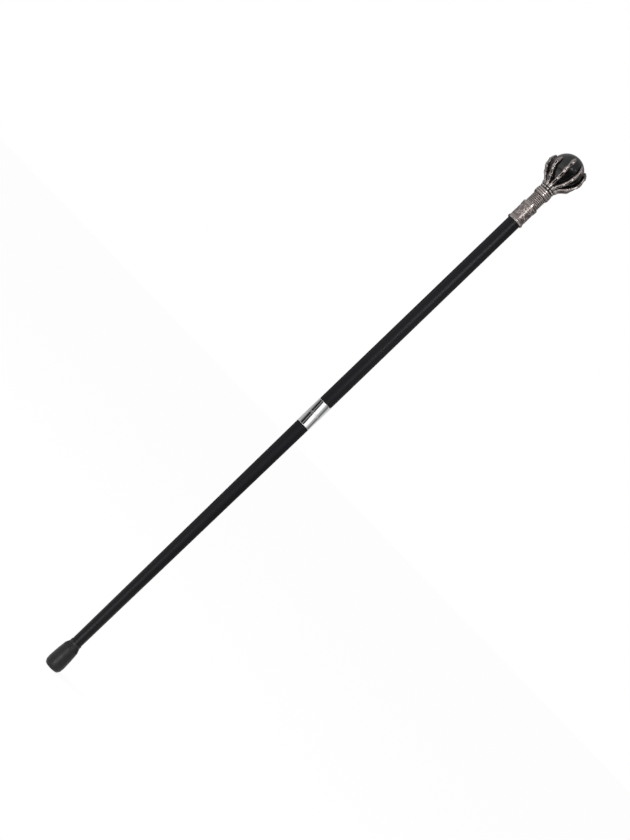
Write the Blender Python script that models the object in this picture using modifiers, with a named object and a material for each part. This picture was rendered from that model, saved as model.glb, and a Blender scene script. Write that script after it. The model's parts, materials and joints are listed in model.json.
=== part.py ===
"""Skeleton hand walking cane: a two-piece black shaft with a chrome screw joint, a rubber tip,
and a cast skeleton hand that holds a black ball. Metres, +Z up. The cane stands upright, and the
origin is the centre of the ball, where a hand holds it. The photographed side faces -Y."""

import math

import bmesh
import bpy
import numpy as np
from mathutils import Matrix, Vector

# Overall sizes
OVERALL_LENGTH = 0.920  # ground to the top of the ball
SEAM_HEIGHT = 0.458  # ground to the seam of the screw joint
SHAFT_DIAMETER = 0.0190
FOOT_DIAMETER = 0.0150  # the lower shaft's thin end, inside the tip
BALL_DIAMETER = 0.045
SEAT_GAP = 0.0003  # between pieces that touch
CORNER = 0.0005  # small rounding on turned edges

# Rubber tip and the steel disc in it
TIP_HEIGHT = 0.0440
TIP_NECK_LENGTH = 0.0050  # from the mouth down
TIP_SHOULDER_DROP = 0.0055  # from the neck's foot down
TIP_WALL = 0.0026  # round the shaft, at the shoulder
TIP_FLARE = 0.0021  # further out at the foot
TIP_FLOOR = 0.0100
TIP_BELLY = (0.0180, 0.0006)  # a point of the slightly hollow wall: height, and drawn in
TIP_STRAIGHT_HEIGHT = 0.0085  # the foot's wall is upright up to here
TIP_SHOULDER_SLOPE = (0.0012, 0.0014)  # in and down from the neck's foot to the shoulder
TIP_SHOULDER_ROUNDS = (0.0024, 0.0030)
TIP_BOTTOM_ROUND = 0.0025
TIP_NECK_WALL = 0.0010
TIP_MOUTH_WALL = 0.0006
TREAD_RADII = (0.0045, 0.0080)
TREAD_WIDTH = 0.0012
TREAD_DEPTH = 0.0008
DISC_THICKNESS = 0.0015
DISC_MARGIN = 0.0004  # the disc is this much smaller than the shaft's end

# Screw joint
COLLAR_SHOWN = 0.0193  # chrome seen on each side of the seam
COLLAR_PROUD = 0.0002  # of the shaft
COLLAR_WALL = 0.0014
COLLAR_WEB = 0.0024
LIP_HEIGHT = 0.0014
LIP_STEP = 0.00025
RIM_WALL = 0.0009  # of the upper collar, round the washer
WASHER_THICKNESS = 0.0008
STUD_DIAMETER = 0.0076  # a plain stand-in for an M8 thread
STUD_REACH = 0.0160  # above the seam
STUD_ROOT = 0.0280  # below the seam
THREAD_CLEARANCE = 0.0004
FLANGE_WIDTH = 0.0024  # of the stud's flange, round the stud
FLANGE_THICKNESS = 0.0012
BUSH_WALL = 0.0018
BUSH_LENGTH = 0.0160

# Head: lengths of the pieces between the ball and the shaft
PALM_DEPTH = 0.0127  # under the ball, down to the neck
BAND_LENGTH = 0.0103
WRIST_LENGTH = 0.0160
SLEEVE_LENGTH = 0.0295
SLEEVE_WEB = 0.0040
SLEEVE_WALL = 0.0007  # round the shaft, under the relief
RIM_PROUD = 0.0007  # of the sleeve's body
RIM_LENGTH = 0.0070
RIM_ROUND = 0.0006
BEAD_PROUD = 0.0011
BEAD_LENGTH = 0.0050
BEAD_CROWN = 0.0022  # height of the bead's widest point
BEAD_ROUND = 0.0010
BEAD_NECK = (0.0003, 0.0012)  # the bead's cove: proud of the body, and its height
ROD_DIAMETER = 0.0060
ROD_IN_SHAFT = 0.0300
INSERT_WALL = 0.0012
INSERT_LENGTH = 0.0120

# Wrist: the wound cord, the thin ring under it and the rings above it
NECK_DIAMETER = 0.0200
WRAP_DIAMETER = 0.0194  # over the cord
WRAP_CORD = 0.00215
WRAP_SPACE = 0.00045  # between turns
WRAP_RING = 0.0013
WRAP_RING_DIAMETER = 0.0192
BAND_PROUDS = (0.0009, 0.0012, 0.0012)  # of the neck, one for each ring, from the top down
BAND_RING_PITCH = 0.0029
BAND_GROOVE = 0.0006
BAND_SHOULDER = 0.0005  # height of the slope from the neck to the first ring
BAND_LIP_PROUD = 0.0008
BAND_CUFF = 0.00135  # depth of the hollow in the lip, which hides the cord's upper end
RING_SIDES = (0.28, 0.25)  # where a ring's sides turn: share of the pitch, and of the groove

# Hand base: two rows of small wrist bones round a hollow, with a boss under the ball
SEAT_TILT = math.radians(47)  # the digits' first bones rise from the seat at this slope
SEAT_POLAR = math.radians(23.6)  # from straight down, about the ball's centre
SEAT_LIFT = 0.00544  # of a digit's centre line above the ball
SEAT_OUTER = 0.0022  # width of the seat outside the digits' centre lines
SEAT_INNER = 0.0013
ROW_SPLIT = 0.0030  # height of the lower row above the neck
ROW_GROOVE = 0.0006
ROW_BULGE = 0.0003
ROW_EDGE = 0.0009  # height over which a bone rounds off
SEAT_EDGE = 0.0004
EDGE_BITE = 0.8  # how far the grooves between the columns reach in at an edge, 1 on the wall
SEAT_BITE = 0.3
COLUMNS = 14
COLUMN_START = -5.5  # azimuth of the first column, in degrees from the front to the right
COLUMN_GROOVE = 0.0019
COLUMN_PLACES = (-1.0, -0.62, 0.0, 0.62)  # across a column, groove to groove
COLUMN_ROUND = 6  # power of the column's cross-section: higher is squarer
BOSS_WALL = 0.0019
HOLLOW_DEPTH = 0.0050  # under the boss
HOLLOW_SLOPE = (0.0012, 0.0016)  # in and down from the seat's inner edge

# Digits: polar angles of the joints from straight down, and azimuths from the front to the right
SHORT = (43.7, 64.6, 84.8, 104.0)  # knuckle, middle joint, end joint, point
LONG = (53.0, 79.4, 109.0, 131.0)
DIGITS = (
    ("digit_1", SHORT, (-84, -87, -90, -90, -90)),
    ("digit_2", SHORT, (-39, -38, -41, -44, -44)),
    ("digit_3", LONG, (-6, -4, -5, -6, -8)),
    ("digit_4", LONG, (26, 30, 31, 34, 32)),
    ("digit_5", LONG, (54, 63, 70, 73, 86)),
    ("digit_6", LONG, (104, 115, 121, 125, 130)),
    ("digit_7", SHORT, (158, 166, 171, 174, 176)),
    ("digit_8", LONG, (214, 218, 220, 222, 222)),
)
JOINT_LIFTS = (0.0034, 0.0029, 0.0023, 0.0012)  # of the centre line above the ball
BONE_WIDTHS = (0.0051, 0.0050, 0.0055, 0.0056)
BONE_HEIGHTS = (0.0022, 0.0023, 0.0024, 0.0019)  # from the centre line outwards
SEAT_END_WIDTH = 0.0048
BONE_STATIONS = (0.0, 0.07, 0.16, 0.34, 0.62, 0.84, 0.94)
BONE_SHAPE = (0.74, 0.98, 1.00, 0.84, 0.82, 1.02, 0.98)  # width along a bone, 1 at its heads
BONE_FLUTE = (0.0, 0.0, 0.08, 0.34, 0.34, 0.04, 0.0)  # depth of the hollow along its back
CLAW_STATIONS = (0.0, 0.08, 0.20, 0.45, 0.72, 1.0)
CLAW_SHAPE = (0.72, 1.0, 0.98, 0.78, 0.52, 0.26)
DIGIT_SIDES = 10

# Facets
SHAFT_STEPS = 32
STUD_STEPS = 24
ROD_STEPS = 20
BALL_RINGS = 18
WRAP_POINTS = 20  # in each turn
ARC_STEP = math.radians(40)
FINE_FILLET = 0.0006  # up to this size a fillet is a plain chamfer

# Levels above the ground, top down, and the radii that fit each other
BALL_RADIUS = BALL_DIAMETER / 2
BALL_CENTRE = OVERALL_LENGTH - BALL_RADIUS
BALL_FOOT = BALL_CENTRE - BALL_RADIUS
NECK = BALL_FOOT - PALM_DEPTH
BAND_FOOT = NECK - BAND_LENGTH
WRIST_FOOT = BAND_FOOT - WRIST_LENGTH
SLEEVE_FOOT = WRIST_FOOT - SLEEVE_LENGTH
SHAFT_TOP = WRIST_FOOT - SLEEVE_WEB - SEAT_GAP
SHAFT_FOOT = TIP_FLOOR + DISC_THICKNESS + 2 * SEAT_GAP
TIP_NECK = TIP_HEIGHT - TIP_NECK_LENGTH
TIP_SHOULDER = TIP_NECK - TIP_SHOULDER_DROP
SHAFT_RADIUS = SHAFT_DIAMETER / 2
COLLAR_RADIUS = SHAFT_RADIUS + COLLAR_PROUD
COLLAR_BORE = COLLAR_RADIUS - COLLAR_WALL
TENON_RADIUS = COLLAR_BORE - SEAT_GAP
STUD_RADIUS = STUD_DIAMETER / 2
STUD_HOLE = STUD_RADIUS + THREAD_CLEARANCE + SEAT_GAP  # where the stud turns freely
WASHER_RADIUS = COLLAR_RADIUS - RIM_WALL - SEAT_GAP
WASHER_SPACE = WASHER_THICKNESS + 2 * SEAT_GAP
UPPER_TENON = SEAM_HEIGHT + WASHER_SPACE + COLLAR_WEB + 2 * SEAT_GAP  # foot of its tenon
BUSH_RADIUS = STUD_RADIUS + THREAD_CLEARANCE + BUSH_WALL
ROD_RADIUS = ROD_DIAMETER / 2
ROD_HOLE = ROD_RADIUS + SEAT_GAP
INSERT_RADIUS = ROD_HOLE + INSERT_WALL
NECK_RADIUS = NECK_DIAMETER / 2
DISH_RADIUS = BALL_RADIUS + SEAT_GAP
WRAP_RADIUS = (WRAP_DIAMETER - WRAP_CORD) / 2  # of the cord's centre line
WRAP_PITCH = WRAP_CORD + WRAP_SPACE
WRAP_RISE = WRIST_LENGTH + BAND_CUFF - WRAP_RING - WRAP_CORD - 3 * SEAT_GAP


def new_material(name, colour, metallic, roughness):
    """A plain Principled material with the piece's colour and gloss."""
    material = bpy.data.materials.new(name)
    material.use_nodes = True
    shader = material.node_tree.nodes["Principled BSDF"]
    shader.inputs["Base Color"].default_value = (*colour, 1.0)
    shader.inputs["Metallic"].default_value = metallic
    shader.inputs["Roughness"].default_value = roughness
    material.diffuse_color = (*colour, 1.0)
    return material


def new_collection(name):
    collection = bpy.data.collections.new(name)
    bpy.context.scene.collection.children.link(collection)
    return collection


def new_empty(name, height):
    """A frame on the cane's axis, at a height above the ground, that carries one section."""
    empty = bpy.data.objects.new(name, None)
    empty.empty_display_size = 0.02
    empty.location = (0.0, 0.0, height - BALL_CENTRE)
    CANE.objects.link(empty)
    return empty


def place(obj, frame, height, material, collection):
    """Puts an object in its section, its own origin on the axis at a height above the ground."""
    collection.objects.link(obj)
    obj.parent = frame
    obj.location = (0.0, 0.0, height - BALL_CENTRE - frame.location.z)
    if material:
        obj.data.materials.append(material)
    return obj


def make_cutter(obj, frame, height):
    """Puts an object with the cutters, hidden from the render."""
    place(obj, frame, height, None, CUTTERS)
    obj.hide_render = True
    obj.display_type = "WIRE"
    return obj


def cut(obj, cutter):
    """Takes the cutter's shape out of the object."""
    modifier = obj.modifiers.new("cut " + cutter.name, "BOOLEAN")
    modifier.operation = "DIFFERENCE"
    modifier.solver = "EXACT"
    modifier.object = cutter


def with_fillets(corners, closed):
    """An outline of (radius, height) points, each corner (radius, height, fillet) made a round arc."""
    points = []
    count = len(corners)
    for i, corner in enumerate(corners):
        here = Vector(corner[:2])
        fillet = corner[2] if len(corner) > 2 else 0.0
        at_end = not closed and i in (0, count - 1)
        if fillet <= 0.0 or at_end:
            points.append(here)
            continue
        before = Vector(corners[i - 1][:2]) - here
        after = Vector(corners[(i + 1) % count][:2]) - here
        half_angle = before.angle(after) / 2
        setback = min(fillet / math.tan(half_angle), 0.45 * before.length, 0.45 * after.length)
        radius = setback * math.tan(half_angle)
        to_centre = (before.normalized() + after.normalized()).normalized()
        centre = here + to_centre * (radius / math.sin(half_angle))
        start = here + before.normalized() * setback - centre
        end = here + after.normalized() * setback - centre
        turn = start.angle_signed(end)
        steps = 1 if fillet <= FINE_FILLET else max(1, round(abs(turn) / ARC_STEP))
        for k in range(steps + 1):
            angle = -turn * k / steps
            points.append(centre + Matrix.Rotation(angle, 2) @ start)
    return points


def turned(name, corners, frame, height, material, closed=True, steps=SHAFT_STEPS):
    """A turned piece: its outline of (radius, height) swept once round the axis by a Screw modifier.
    The outline runs down the outer side first. A closed outline makes a ring, and an open one
    starts and ends on the axis."""
    points = with_fillets(corners, closed)
    vertices = [(p[0], 0.0, p[1]) for p in points]
    edges = [(i, i + 1) for i in range(len(vertices) - 1)]
    if closed:
        edges.append((len(vertices) - 1, 0))
    mesh = bpy.data.meshes.new(name)
    mesh.from_pydata(vertices, edges, [])
    obj = bpy.data.objects.new(name, mesh)
    place(obj, frame, height, material, CANE)
    screw = obj.modifiers.new("turn", "SCREW")
    screw.axis = "Z"
    screw.angle = math.tau
    screw.steps = steps
    screw.render_steps = steps
    screw.use_merge_vertices = True
    screw.merge_threshold = 1e-5
    screw.use_smooth_shade = True
    return obj


def shaft_radius(height):
    """The lower shaft's radius at a height above the ground: a straight taper to its foot."""
    collar_foot = SEAM_HEIGHT - COLLAR_SHOWN
    share = (height - SHAFT_FOOT) / (collar_foot - SHAFT_FOOT)
    return (FOOT_DIAMETER + (SHAFT_DIAMETER - FOOT_DIAMETER) * share) / 2


def make_rubber_tip():
    """A bell-shaped ferrule: flared foot with two tread grooves, round shoulder and a thin neck."""
    mouth = shaft_radius(TIP_HEIGHT) + SEAT_GAP
    neck = shaft_radius(TIP_NECK) + SEAT_GAP
    floor = shaft_radius(SHAFT_FOOT) + SEAT_GAP
    shoulder = neck + TIP_WALL
    foot = shoulder + TIP_FLARE
    belly_height, belly_in = TIP_BELLY
    slope_in, slope_down = TIP_SHOULDER_SLOPE
    outline = [
        (0.0, TIP_FLOOR),
        (floor, TIP_FLOOR),
        (mouth, TIP_HEIGHT),
        (mouth + TIP_MOUTH_WALL, TIP_HEIGHT),
        (neck + TIP_NECK_WALL, TIP_NECK, TIP_NECK_WALL),
        (shoulder - slope_in, TIP_NECK - slope_down, TIP_SHOULDER_ROUNDS[0]),
        (shoulder, TIP_SHOULDER, TIP_SHOULDER_ROUNDS[1]),
        (foot - belly_in, belly_height),
        (foot, TIP_STRAIGHT_HEIGHT),
        (foot, 0.0, TIP_BOTTOM_ROUND),
    ]
    for radius in reversed(TREAD_RADII):
        outline += [
            (radius + TREAD_WIDTH / 2, 0.0),
            (radius + TREAD_WIDTH / 2, TREAD_DEPTH),
            (radius - TREAD_WIDTH / 2, TREAD_DEPTH),
            (radius - TREAD_WIDTH / 2, 0.0),
        ]
    outline.append((0.0, 0.0))
    return turned("rubber_tip", outline, TIP_FRAME, 0.0, RUBBER, closed=False)


def rod_outline(radius, length):
    """A plain round bar's outline, standing on its own foot."""
    return [(0.0, length), (radius, length, CORNER), (radius, 0.0, CORNER), (0.0, 0.0)]


def make_tip_washer():
    """The steel disc that keeps the shaft's end from punching through the rubber."""
    outline = rod_outline(shaft_radius(SHAFT_FOOT) - DISC_MARGIN, DISC_THICKNESS)
    height = TIP_FLOOR + SEAT_GAP
    return turned("tip_washer", outline, TIP_FRAME, height, STEEL, closed=False, steps=ROD_STEPS)


def make_lower_shaft():
    """The tapered lower half, with a tenon for the collar and a bore for the stud."""
    shoulder = SEAM_HEIGHT - COLLAR_SHOWN - SEAT_GAP
    tenon_top = SEAM_HEIGHT - COLLAR_WEB - FLANGE_THICKNESS - 2 * SEAT_GAP
    bore = STUD_RADIUS + SEAT_GAP
    bore_floor = SEAM_HEIGHT - STUD_ROOT - SEAT_GAP
    outline = [
        (0.0, bore_floor),
        (bore, bore_floor),
        (bore, tenon_top),
        (TENON_RADIUS, tenon_top, CORNER),
        (TENON_RADIUS, shoulder),
        (shaft_radius(shoulder), shoulder, CORNER / 2),
        (shaft_radius(SHAFT_FOOT), SHAFT_FOOT, CORNER),
        (0.0, SHAFT_FOOT),
    ]
    outline = [(p[0], p[1] - SHAFT_FOOT, *p[2:]) for p in outline]
    return turned("lower_shaft", outline, LOWER_FRAME, SHAFT_FOOT, BLACK, closed=False)


def make_lower_collar():
    """The lower chrome cup: a sleeve over the tenon, a web the stud passes, and a fine raised lip."""
    hole = STUD_RADIUS + SEAT_GAP
    outline = [
        (COLLAR_RADIUS + LIP_STEP, 0.0, LIP_STEP),
        (COLLAR_RADIUS + LIP_STEP, -LIP_HEIGHT, LIP_STEP),
        (COLLAR_RADIUS, -LIP_HEIGHT - LIP_STEP),
        (COLLAR_RADIUS, -COLLAR_SHOWN, CORNER / 2),
        (COLLAR_BORE, -COLLAR_SHOWN),
        (COLLAR_BORE, -COLLAR_WEB),
        (hole, -COLLAR_WEB),
        (hole, 0.0),
    ]
    return turned("lower_collar", outline, LOWER_FRAME, SEAM_HEIGHT, CHROME)


def make_joint_stud():
    """The stud, with a flange clamped behind the collar's web and its root in the lower shaft."""
    flange_top = -COLLAR_WEB - SEAT_GAP
    flange_foot = flange_top - FLANGE_THICKNESS
    flange = STUD_RADIUS + FLANGE_WIDTH
    outline = [
        (0.0, STUD_REACH),
        (STUD_RADIUS, STUD_REACH, CORNER),
        (STUD_RADIUS, flange_top),
        (flange, flange_top),
        (flange, flange_foot),
        (STUD_RADIUS, flange_foot),
        (STUD_RADIUS, -STUD_ROOT, CORNER),
        (0.0, -STUD_ROOT),
    ]
    name = "joint_stud"
    return turned(name, outline, LOWER_FRAME, SEAM_HEIGHT, STEEL, closed=False, steps=STUD_STEPS)


def ring_outline(outer, inner, length):
    """A plain ring's outline, standing on its own foot."""
    return [(outer, length), (outer, 0.0), (inner, 0.0), (inner, length)]


def make_joint_washer():
    """The thin washer round the stud, in the recess of the upper collar's face."""
    outline = ring_outline(WASHER_RADIUS, STUD_HOLE, WASHER_THICKNESS)
    height = SEAM_HEIGHT + SEAT_GAP
    return turned("joint_washer", outline, WASHER_FRAME, height, FIBRE, steps=STUD_STEPS)


def make_upper_collar():
    """The upper chrome cup, its face recessed for the washer."""
    recess = WASHER_RADIUS + SEAT_GAP
    web = SEAT_GAP + WASHER_SPACE
    outline = [
        (COLLAR_RADIUS, COLLAR_SHOWN, CORNER / 2),
        (COLLAR_RADIUS, LIP_HEIGHT + LIP_STEP),
        (COLLAR_RADIUS + LIP_STEP, LIP_HEIGHT, LIP_STEP),
        (COLLAR_RADIUS + LIP_STEP, SEAT_GAP, LIP_STEP),
        (recess, SEAT_GAP),
        (recess, web),
        (STUD_HOLE, web),
        (STUD_HOLE, web + COLLAR_WEB),
        (COLLAR_BORE, web + COLLAR_WEB),
        (COLLAR_BORE, COLLAR_SHOWN),
    ]
    return turned("upper_collar", outline, UPPER_FRAME, SEAM_HEIGHT, CHROME)


def make_thread_bush():
    """The brass bush in the upper shaft's end, in which the stud screws home."""
    outline = ring_outline(BUSH_RADIUS, STUD_RADIUS + THREAD_CLEARANCE, BUSH_LENGTH)
    return turned("thread_bush", outline, UPPER_FRAME, UPPER_TENON, BRASS, steps=STUD_STEPS)


def make_upper_shaft():
    """The straight upper half: a tenon and a bush bore below, a rod bore in its top."""
    shoulder = SEAM_HEIGHT + COLLAR_SHOWN + SEAT_GAP
    bush_bore = BUSH_RADIUS + SEAT_GAP
    bush_top = UPPER_TENON + BUSH_LENGTH + SEAT_GAP
    rod_floor = SHAFT_TOP - ROD_IN_SHAFT - SEAT_GAP
    outline = [
        (0.0, rod_floor),
        (ROD_HOLE, rod_floor),
        (ROD_HOLE, SHAFT_TOP),
        (SHAFT_RADIUS, SHAFT_TOP, CORNER),
        (SHAFT_RADIUS, shoulder, CORNER / 2),
        (TENON_RADIUS, shoulder),
        (TENON_RADIUS, UPPER_TENON),
        (bush_bore, UPPER_TENON),
        (bush_bore, bush_top),
        (0.0, bush_top),
    ]
    outline = [(p[0], p[1] - UPPER_TENON, *p[2:]) for p in outline]
    return turned("upper_shaft", outline, UPPER_FRAME, UPPER_TENON, BLACK, closed=False)


def make_head_rod():
    """The rod that ties the head together, from the shaft's top into the ball."""
    foot = SHAFT_TOP - ROD_IN_SHAFT
    outline = rod_outline(ROD_RADIUS, BALL_FOOT + INSERT_LENGTH - foot)
    return turned("head_rod", outline, UPPER_FRAME, foot, STEEL, closed=False, steps=ROD_STEPS)


def make_engraved_collar():
    """The pewter sleeve over the shaft's top: flared bead, body and plain rim. Its relief is fine
    carving, which the outline leaves out."""
    bore = SHAFT_RADIUS + SEAT_GAP
    body = bore + SLEEVE_WALL
    rim = body + RIM_PROUD
    bead = body + BEAD_PROUD
    top = SLEEVE_LENGTH - SEAT_GAP
    web_foot = SLEEVE_LENGTH - SLEEVE_WEB
    rim_foot = top - RIM_LENGTH
    cove, cove_height = BEAD_NECK
    outline = [
        (rim - RIM_ROUND, top, RIM_ROUND),
        (rim, top - 2 * RIM_ROUND, RIM_ROUND),
        (rim, rim_foot + RIM_ROUND, RIM_ROUND),
        (body, rim_foot),
        (body, BEAD_LENGTH),
        (body + cove, BEAD_LENGTH - cove_height),
        (bead, BEAD_CROWN, BEAD_ROUND),
        (bead - RIM_ROUND, 0.0, BEAD_ROUND),
        (bore, 0.0),
        (bore, web_foot),
        (ROD_HOLE, web_foot),
        (ROD_HOLE, top),
    ]
    return turned("engraved_collar", outline, UPPER_FRAME, SLEEVE_FOOT, PEWTER)


def make_wrist_core():
    """The barrel that the cord is wound on, up into the band's lip, with a thin ring at its foot."""
    barrel = WRAP_RADIUS - WRAP_CORD / 2 - SEAT_GAP
    ring = WRAP_RING_DIAMETER / 2
    top = WRIST_LENGTH + BAND_CUFF - SEAT_GAP
    outline = [
        (barrel, top),
        (barrel, WRAP_RING),
        (ring, WRAP_RING, CORNER),
        (ring, 0.0, CORNER),
        (ROD_HOLE, 0.0),
        (ROD_HOLE, top),
    ]
    return turned("wrist_core", outline, UPPER_FRAME, WRIST_FOOT, PEWTER)


def make_wrist_wrap():
    """One unbroken cord, wound round the wrist: a helix worked out by its turns and pitch."""
    count = round(WRAP_RISE / WRAP_PITCH * WRAP_POINTS) + 1
    turn = np.arange(count) / WRAP_POINTS
    angle = math.tau * turn + math.pi / 2
    x = WRAP_RADIUS * np.cos(angle)
    y = WRAP_RADIUS * np.sin(angle)
    points = np.column_stack((x, y, WRAP_PITCH * turn))
    curve = bpy.data.curves.new("wrist_wrap", "CURVE")
    curve.dimensions = "3D"
    curve.bevel_depth = WRAP_CORD / 2
    curve.bevel_resolution = 1
    curve.use_fill_caps = True
    spline = curve.splines.new("POLY")
    spline.points.add(count - 1)
    spline.points.foreach_set("co", np.column_stack((points, np.ones(count))).ravel())
    half_turn = WRAP_POINTS // 2
    reach = [np.linalg.norm(points[i + half_turn :] - points[i], axis=1).min()
             for i in range(count - half_turn)]
    print(f"wrist_wrap: least gap to itself {(min(reach) - WRAP_CORD) * 1000:.2f} mm")
    height = WRIST_FOOT + WRAP_RING + SEAT_GAP + WRAP_CORD / 2
    return place(bpy.data.objects.new("wrist_wrap", curve), UPPER_FRAME, height, PEWTER, CANE)


def make_wrist_band():
    """Plain cord rings, one above another, with a slope up to the neck. The lip below them is
    hollow, and takes the barrel's top and the cord's upper end."""
    top = BAND_LENGTH - SEAT_GAP
    lip = NECK_RADIUS + BAND_LIP_PROUD
    cuff = WRAP_DIAMETER / 2 + SEAT_GAP
    rise = RING_SIDES[0] * BAND_RING_PITCH
    outline = [
        (NECK_RADIUS, top),
        (NECK_RADIUS + BAND_PROUDS[0] - BAND_GROOVE, top - BAND_SHOULDER),
    ]
    for ring, proud in enumerate(BAND_PROUDS):
        crown = NECK_RADIUS + proud
        side = crown - RING_SIDES[1] * BAND_GROOVE
        middle = top - BAND_SHOULDER - BAND_RING_PITCH * (ring + 0.5)
        outline += [
            (side, middle + rise),
            (crown, middle),
            (side, middle - rise),
            (crown - BAND_GROOVE, middle - BAND_RING_PITCH / 2),
        ]
    outline += [
        (lip, outline[-1][1] - CORNER, CORNER),
        (lip, 0.0, CORNER / 2),
        (cuff, 0.0),
        (cuff, BAND_CUFF),
        (ROD_HOLE, BAND_CUFF),
        (ROD_HOLE, top),
    ]
    return turned("wrist_band", outline, UPPER_FRAME, BAND_FOOT, PEWTER)


def seat_centre():
    """Where a digit's centre line starts, as (radius, height) from the ball's centre."""
    reach = BALL_RADIUS + SEAT_LIFT
    return np.array((reach * math.sin(SEAT_POLAR), -reach * math.cos(SEAT_POLAR)))


def dish_height(radius):
    """Height of the dish under the ball, from the ball's centre."""
    return -math.sqrt(DISH_RADIUS**2 - radius**2)


def base_levels():
    """The hand base's outline, as rows of radius, height from the ball's centre, and how far the
    grooves between the columns bite there, from 0 to 1. It goes out along the foot, up the two rows
    of bones, over the digits' seat, down into the hollow and up over the boss."""
    rise = np.array((math.cos(SEAT_TILT), math.sin(SEAT_TILT)))
    across = np.array((rise[1], -rise[0]))
    seat = seat_centre() - rise * SEAT_GAP
    outer = seat + across * SEAT_OUTER
    inner = seat - across * SEAT_INNER
    neck = NECK - BALL_CENTRE
    split = neck + ROW_SPLIT
    slope = (outer[0] - NECK_RADIUS) / (outer[1] - neck)
    boss = ROD_HOLE + BOSS_WALL
    hollow = dish_height(boss) - HOLLOW_DEPTH

    def wall(height):
        return NECK_RADIUS + slope * (height - neck)

    upper_middle = (split + outer[1]) / 2
    return np.array([
        (ROD_HOLE, neck, 0.0),
        (NECK_RADIUS - CORNER, neck, EDGE_BITE),
        (NECK_RADIUS + ROW_BULGE, neck + ROW_EDGE, 1.0),
        (wall(split) + ROW_BULGE / 2, split - ROW_EDGE, 1.0),
        (wall(split) - ROW_GROOVE, split, EDGE_BITE),
        (wall(split) + ROW_BULGE / 2, split + ROW_EDGE, 1.0),
        (wall(upper_middle) + ROW_BULGE, upper_middle, 1.0),
        (outer[0], outer[1] - ROW_EDGE, 1.0),
        (outer[0] - SEAT_EDGE, outer[1], 1.0),
        (inner[0], inner[1], SEAT_BITE),
        (inner[0] - HOLLOW_SLOPE[0], inner[1] - HOLLOW_SLOPE[1], 0.0),
        (boss, hollow, 0.0),
        (boss, dish_height(boss), 0.0),
        (ROD_HOLE, dish_height(ROD_HOLE), 0.0),
    ])


def make_hand_base():
    """The carpal cup: a loft of lobed sections, each lobe one column of small bones. A lobe's
    section falls off as a high power of the distance from its middle, so it is broad with
    rounded sides."""
    radius, height, bite = base_levels()[::-1].T
    across = np.tile(COLUMN_PLACES, COLUMNS)
    column = np.repeat(np.arange(COLUMNS), len(COLUMN_PLACES))
    step = math.tau / COLUMNS
    azimuth = math.radians(COLUMN_START) + step * (column + across / 2)
    groove = COLUMN_GROOVE * np.abs(across) ** COLUMN_ROUND
    rings = radius[:, None] - bite[:, None] * groove
    x = rings * np.sin(azimuth)
    y = -rings * np.cos(azimuth)
    z = np.repeat(height[:, None], len(azimuth), axis=1)
    vertices = np.stack((x, y, z), axis=2).reshape(-1, 3)
    mesh = bpy.data.meshes.new("hand_base")
    faces = loft_faces(len(radius), len(azimuth), ends_meet=True)
    mesh.from_pydata(vertices.tolist(), [], faces)
    mesh.shade_smooth()
    obj = bpy.data.objects.new("hand_base", mesh)
    return place(obj, UPPER_FRAME, BALL_CENTRE, PEWTER, CANE)


def digit_nodes(angles):
    """The joints of a digit's centre line, as (radius, height) rows from the ball's centre."""
    polar = np.radians(angles)
    reach = BALL_RADIUS + np.array(JOINT_LIFTS)
    joints = np.column_stack((reach * np.sin(polar), -reach * np.cos(polar)))
    return np.vstack((seat_centre(), joints))


def smooth_path(nodes, places):
    """Points and directions at given places (0 at the first node, 1 at the next) along a smooth
    curve through the nodes: a cubic between each two, whose slope at a node follows its neighbours."""
    slopes = np.empty_like(nodes)
    slopes[1:-1] = (nodes[2:] - nodes[:-2]) / 2
    start = np.linalg.norm(nodes[1] - nodes[0])
    slopes[0] = start * np.array((math.cos(SEAT_TILT), math.sin(SEAT_TILT)))
    slopes[-1] = 1.5 * (nodes[-1] - nodes[-2]) - slopes[-2] / 2
    bone = np.minimum(places.astype(int), len(nodes) - 2)
    t = (places - bone)[:, None]
    a, b, u, v = nodes[bone], nodes[bone + 1], slopes[bone], slopes[bone + 1]
    points = (
        (2 * t**3 - 3 * t**2 + 1) * a
        + (t**3 - 2 * t**2 + t) * u
        + (3 * t**2 - 2 * t**3) * b
        + (t**3 - t**2) * v
    )
    ways = (
        (6 * t**2 - 6 * t) * a
        + (3 * t**2 - 4 * t + 1) * u
        + (6 * t - 6 * t**2) * b
        + (3 * t**2 - 2 * t) * v
    )
    return points, ways / np.linalg.norm(ways, axis=1)[:, None]


def digit_stations():
    """Places along a digit with the width, height and flute of the section at each."""
    rows = []
    bones = len(BONE_WIDTHS) - 1
    for bone in range(bones):
        for u, shape, flute in zip(BONE_STATIONS, BONE_SHAPE, BONE_FLUTE):
            width = BONE_WIDTHS[bone] * shape
            if bone == 0:
                width = min(width, SEAT_END_WIDTH + (BONE_WIDTHS[0] - SEAT_END_WIDTH) * 2 * u)
            rows.append((bone + u, width / 2, BONE_HEIGHTS[bone] * (0.25 + 0.75 * shape), flute))
    for u, shape in zip(CLAW_STATIONS, CLAW_SHAPE):
        rows.append((bones + u, BONE_WIDTHS[-1] * shape / 2, BONE_HEIGHTS[-1] * shape, 0.0))
    return np.array(rows)


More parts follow.
